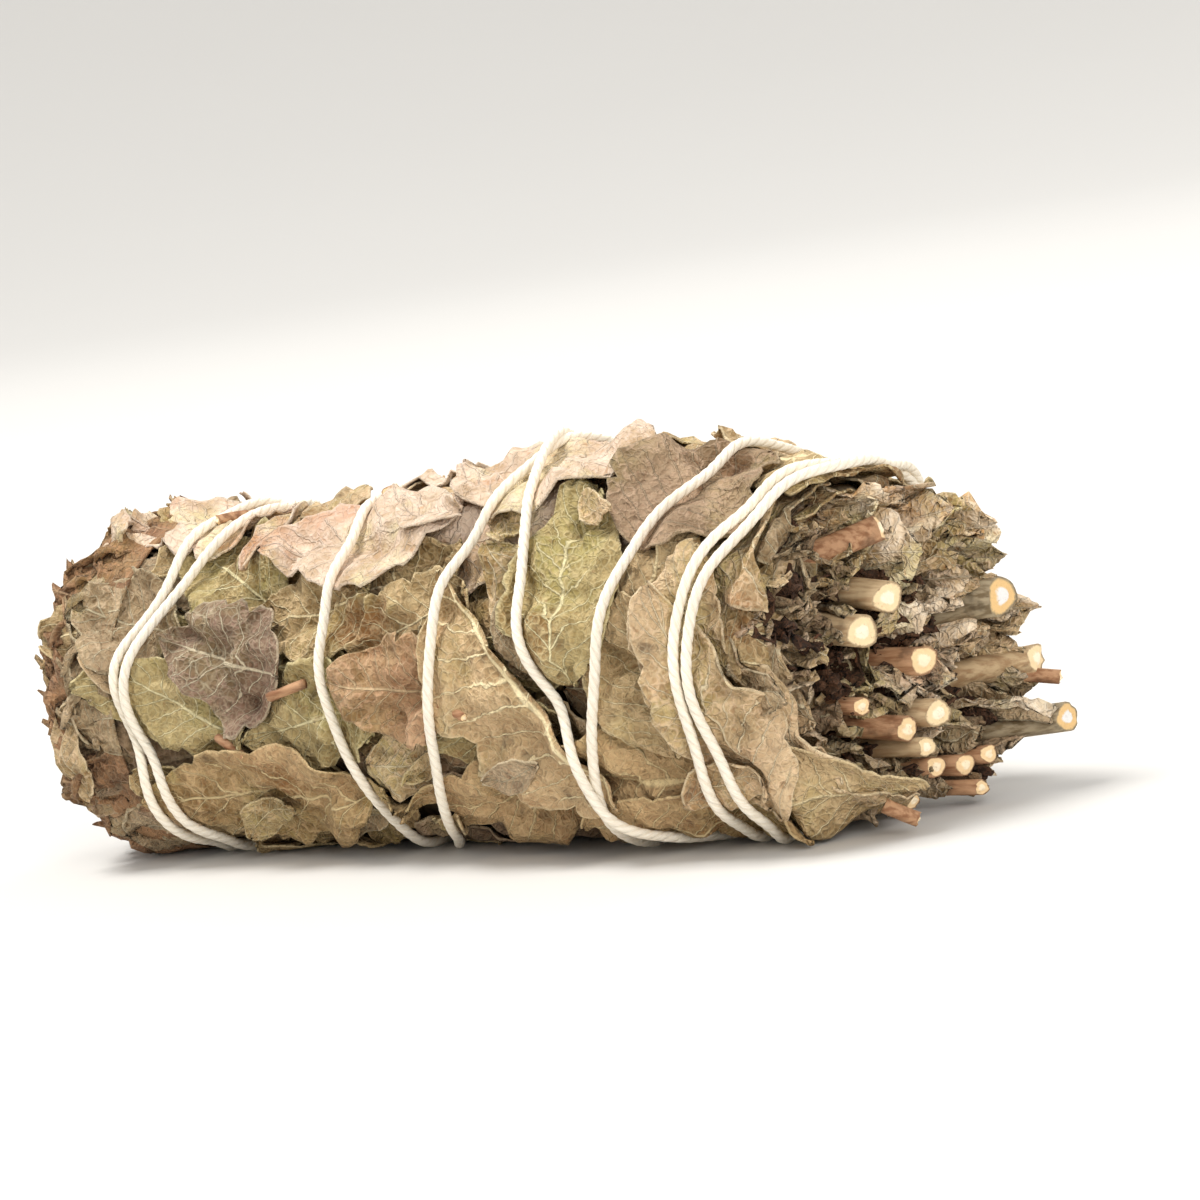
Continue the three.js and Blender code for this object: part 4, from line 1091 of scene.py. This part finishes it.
for index in range(600):
    if made >= curlLook["scraps"]:
        break
    out = curlLook["limit"] * math.sqrt(rng.uniform(0.0, 1))
    turn = rng.uniform(0, 2 * math.pi)
    y, z = out * math.cos(turn), axisHeight + out * math.sin(turn)
    sweptOver = y < -5 and z < axisHeight - 1 and out > 11.5
    if sweptOver or not farFromStems(y, z, 0.5):
        continue
    back = float(smoothStep(y, -2.0, 8.0))
    upper = back > 0.4 and z > axisHeight - 6
    if upper:
        colour = pick("curlGrey", "curlPale", "greyGreen", "khaki")
    else:
        colour = pick("dark", "greyGreen", "shadedCrumb", "khaki", "curlGrey")
    nearest = nearestStem(y, z)
    reach = min(rng.uniform(49.0, 52.6) + 0.5 * max(y + 4, 0), nearest["face"][0] - 0.6)
    lean = (0.10 * y + rng.uniform(-1, 1), 0.10 * (z - axisHeight) + rng.uniform(-1, 1))
    curlLeaf(f"curled_leaf_{made + 1:02d}", (y, z), 42, reach, rng.uniform(3.5, 7.5), rng.uniform(1.0, 3.4),
             lean, 500 + index, colour)
    made += 1
for index, (y, z, reach, width, roll, leanY, leanZ, spin, colour) in enumerate(collarLeaves):
    curlLeaf(f"collar_leaf_{index + 1}", (y, z), 40, reach, width, roll, (leanY, leanZ), 900 + index,
             colour, spin, narrows=0.86, folds=0.5)
for index in range(curlLook["low"]):
    y, z = rng.uniform(-1, 13), rng.uniform(1.5, 14)
    if not farFromStems(y, z, 0.2):
        continue
    nearest = nearestStem(y, z)
    colour = ["dark", "shadedCrumb", "curlGrey", "greyGreen", "curlPale"][index % 5]
    curlLeaf(f"low_curl_{index + 1:02d}", (y, z), 42, nearest["face"][0] - rng.uniform(0.2, 2.5),
             rng.uniform(2.5, 4.5), rng.uniform(1.2, 3.2), (rng.uniform(-0.6, 0.6), rng.uniform(-0.6, 0.6)),
             1100 + index, colour)
# near-black crumbs deep among the stems: dark leaf bits, partly painted shade
for index in range(curlLook["crumbs"]):
    out = 9.5 * math.sqrt(rng.uniform(0, 1))
    turn = rng.uniform(0, 2 * math.pi)
    y, z = out * math.cos(turn) + 1.0, axisHeight + out * math.sin(turn) - 1.0
    back = float(smoothStep(y, -2.0, 8.0))
    reach = rng.uniform(47.0, 51.5) + 4 * back
    curlLeaf(f"crumb_{index + 1:02d}", (y, z), 43, reach, rng.uniform(1.4, 2.8), rng.uniform(2.0, 4.5),
             (rng.uniform(-1, 1), rng.uniform(-1, 1)), 700 + index, "shadedCrumb")
print("stage: curled leaves", made)


# The string's windings, knot and tails
def tube(name, path, radius, sides, plies, twist, plyDepth):
    # a closed tube along a path in mm, its section lobed by the plies that turn along it
    rings = len(path)
    piece, order, u, w = gridPiece(name, rings - 1, sides)
    along = unit(np.gradient(path, axis=0))
    away = path - np.array([0, 0, float(radiusAt(0)) - bundle["settle"]]) * np.array([0, 1, 1])
    away[:, 0] = 0
    up = unit(away - along * np.sum(away * along, axis=1)[:, None])
    sideways = np.cross(along, up)
    turn = w * np.pi
    travelled = np.r_[0, np.cumsum(np.linalg.norm(np.diff(path, axis=0), axis=1))]
    phase = (travelled / twist * 2 * np.pi)[:, None]
    place = plies * (turn + phase) / (2 * np.pi)
    size = radius * (1 + plyDepth * (np.abs(np.cos(np.pi * place)) - 0.7))
    points = path[:, None] + up[:, None] * (size * np.cos(turn))[..., None]
    points = points + sideways[:, None] * (size * np.sin(turn))[..., None]
    flat = np.broadcast_to(travelled[:, None] * mm, place.shape)
    placePoints(piece, order, (points + shift) * mm, place, flat)
    editMesh((bpy.ops.mesh.remove_doubles, dict(threshold=1e-6)),
             (bpy.ops.mesh.fill_holes, dict(sides=sides + 2)))
    return piece


def windString():
    look = stringLook
    points = toMillimetres(bunchPoints(routeXs, routeAngles, stringRise))
    points[:, 2] = np.maximum(points[:, 2], look["diameter"] / 2 + 0.05)
    parts = [look[key] for key in ("sides", "plies", "twist", "plyDepth")]
    piece = tube("string_winding", points, look["diameter"] / 2, *parts)
    finishPiece(piece, stringFinish, "string", "string")
    return points


knotLook = dict(x=47.5, angle=250, radius=1.25, tail=9.0, lift=0.5)


def tieKnot(stringPoints):
    look = knotLook
    centre = stringPoints[0]
    out = np.array([0, -math.sin(math.radians(look["angle"])), math.cos(math.radians(look["angle"]))])
    first = np.array([1.0, 0, 0])
    second = np.cross(out, first)
    turn = np.linspace(0, 4 * np.pi, 121)
    wide = look["radius"] * (2 + np.cos(1.5 * turn)) * 0.5
    loop = centre + out * look["lift"] + np.outer(wide * np.cos(turn), first)
    loop += np.outer(wide * np.sin(turn), second)
    loop += np.outer(look["radius"] * np.sin(1.5 * turn) * 0.45, out)
    knot = tube("string_knot", loop, 0.5, 12, 3, 3.6, 0.2)
    finishPiece(knot, stringFinish, "string")
    for side in (-1, 1):
        share = np.linspace(0, 1, 60)
        x = look["x"] - side * 0.6 - look["tail"] * share * 0.75
        angle = look["angle"] + side * (3 + 22 * share) + 4 * np.sin(share * 5)
        lie = laid.under(x, angle) + 0.45
        height = lie + 0.8 * (1 - smoothStep(share, 0, 0.5))
        points = toMillimetres(bunchPoints(x, angle, height))
        tail = tube(f"string_tail_{(side + 3) // 2}", points, 0.54, 12, 3, 3.6, 0.26)
        finishPiece(tail, stringFinish, "string")


stringPoints = windString()
tieKnot(stringPoints)
print("stage: string")

# The floor, the light and the camera
studio = dict(
    floor=(0.66, 0.65, 0.63), floorSize=7.0, flatRadius=1.5,
    cameraPlace=(319.0, -380.17, 79.93), azimuth=38.51, elevation=6.44, roll=-8.72,
    focalShare=4548.4 / 1200,
    keyPower=46.0, fillPower=27.0, backPower=8.0, skyStrength=0.72,
)


def plainMaterial(name, colour):
    shade = Shader(name)
    place = shade.node("TexCoord", None, 3)
    cloud = shade.noise(place, 3.0, 2.0)
    tone = shade.mix(cloud, (*colour, 1), (*[c * 0.97 for c in colour], 1))
    return shade.finish(Base_Color=tone, Roughness=0.9)


def makeStudio():
    look = studio
    # one sheet: flat under the bundle, and rising in a wide curve all round
    rows = 64
    bpy.ops.mesh.primitive_grid_add(x_subdivisions=rows, y_subdivisions=rows, size=look["floorSize"])
    floor = bpy.context.object
    floor.name = "floor"
    corners = pointsOf(floor)
    out = np.hypot(corners[:, 0], corners[:, 1])
    corners[:, 2] = np.maximum(out - look["flatRadius"], 0) ** 2 * 0.22
    floor.data.vertices.foreach_set("co", corners.ravel())
    floor.data.polygons.foreach_set("use_smooth", [True] * len(floor.data.polygons))
    floor.data.materials.append(plainMaterial("floor_paint", look["floor"]))
    world = bpy.data.worlds.new("studio") if bpy.context.scene.world is None else bpy.context.scene.world
    bpy.context.scene.world = world
    world.use_nodes = True
    world.node_tree.nodes["Background"].inputs[0].default_value = (1.0, 0.985, 0.96, 1)
    world.node_tree.nodes["Background"].inputs[1].default_value = look["skyStrength"]
    bpy.context.scene.view_settings.view_transform = "Standard"
    for name, place, aim, size, power, colour in (
        ("key", (-0.75, -0.35, 2.0), (0, 0, 0.02), 0.75, look["keyPower"], (1, 0.985, 0.96)),
        ("fill", (1.9, -1.2, 1.0), (0, 0, 0.02), 1.2, look["fillPower"], (1, 0.98, 0.95)),
        ("back", (0.2, 1.6, 1.2), (0, 0, 0.02), 1.0, look["backPower"], (1, 1, 1)),
    ):
        light = bpy.data.lights.new(name, "AREA")
        light.size, light.energy, light.color = size, power, colour
        holder = bpy.data.objects.new(name, light)
        bpy.context.scene.collection.objects.link(holder)
        holder.location = place
        holder.rotation_euler = (Vector(aim) - Vector(place)).to_track_quat("-Z", "Y").to_euler()


def makeCamera():
    look = studio
    a, e, r = (math.radians(look[key]) for key in ("azimuth", "elevation", "roll"))
    back = Vector((math.sin(a) * math.cos(e), -math.cos(a) * math.cos(e), math.sin(e)))
    right = Vector((math.cos(a), math.sin(a), 0))
    up = back.cross(right)
    rolledRight = right * math.cos(r) + up * math.sin(r)
    rolledUp = up * math.cos(r) - right * math.sin(r)
    camera = bpy.data.cameras.new("camera")
    camera.lens, camera.sensor_width = look["focalShare"] * 36, 36
    camera.clip_start = 0.01
    holder = bpy.data.objects.new("camera", camera)
    bpy.context.scene.collection.objects.link(holder)
    turn = Matrix((rolledRight, rolledUp, back)).transposed().to_4x4()
    holder.matrix_world = Matrix.Translation((Vector(look["cameraPlace"]) + Vector(shift)) * mm) @ turn
    bpy.context.scene.camera = holder


makeStudio()
makeCamera()
print("stage: studio")
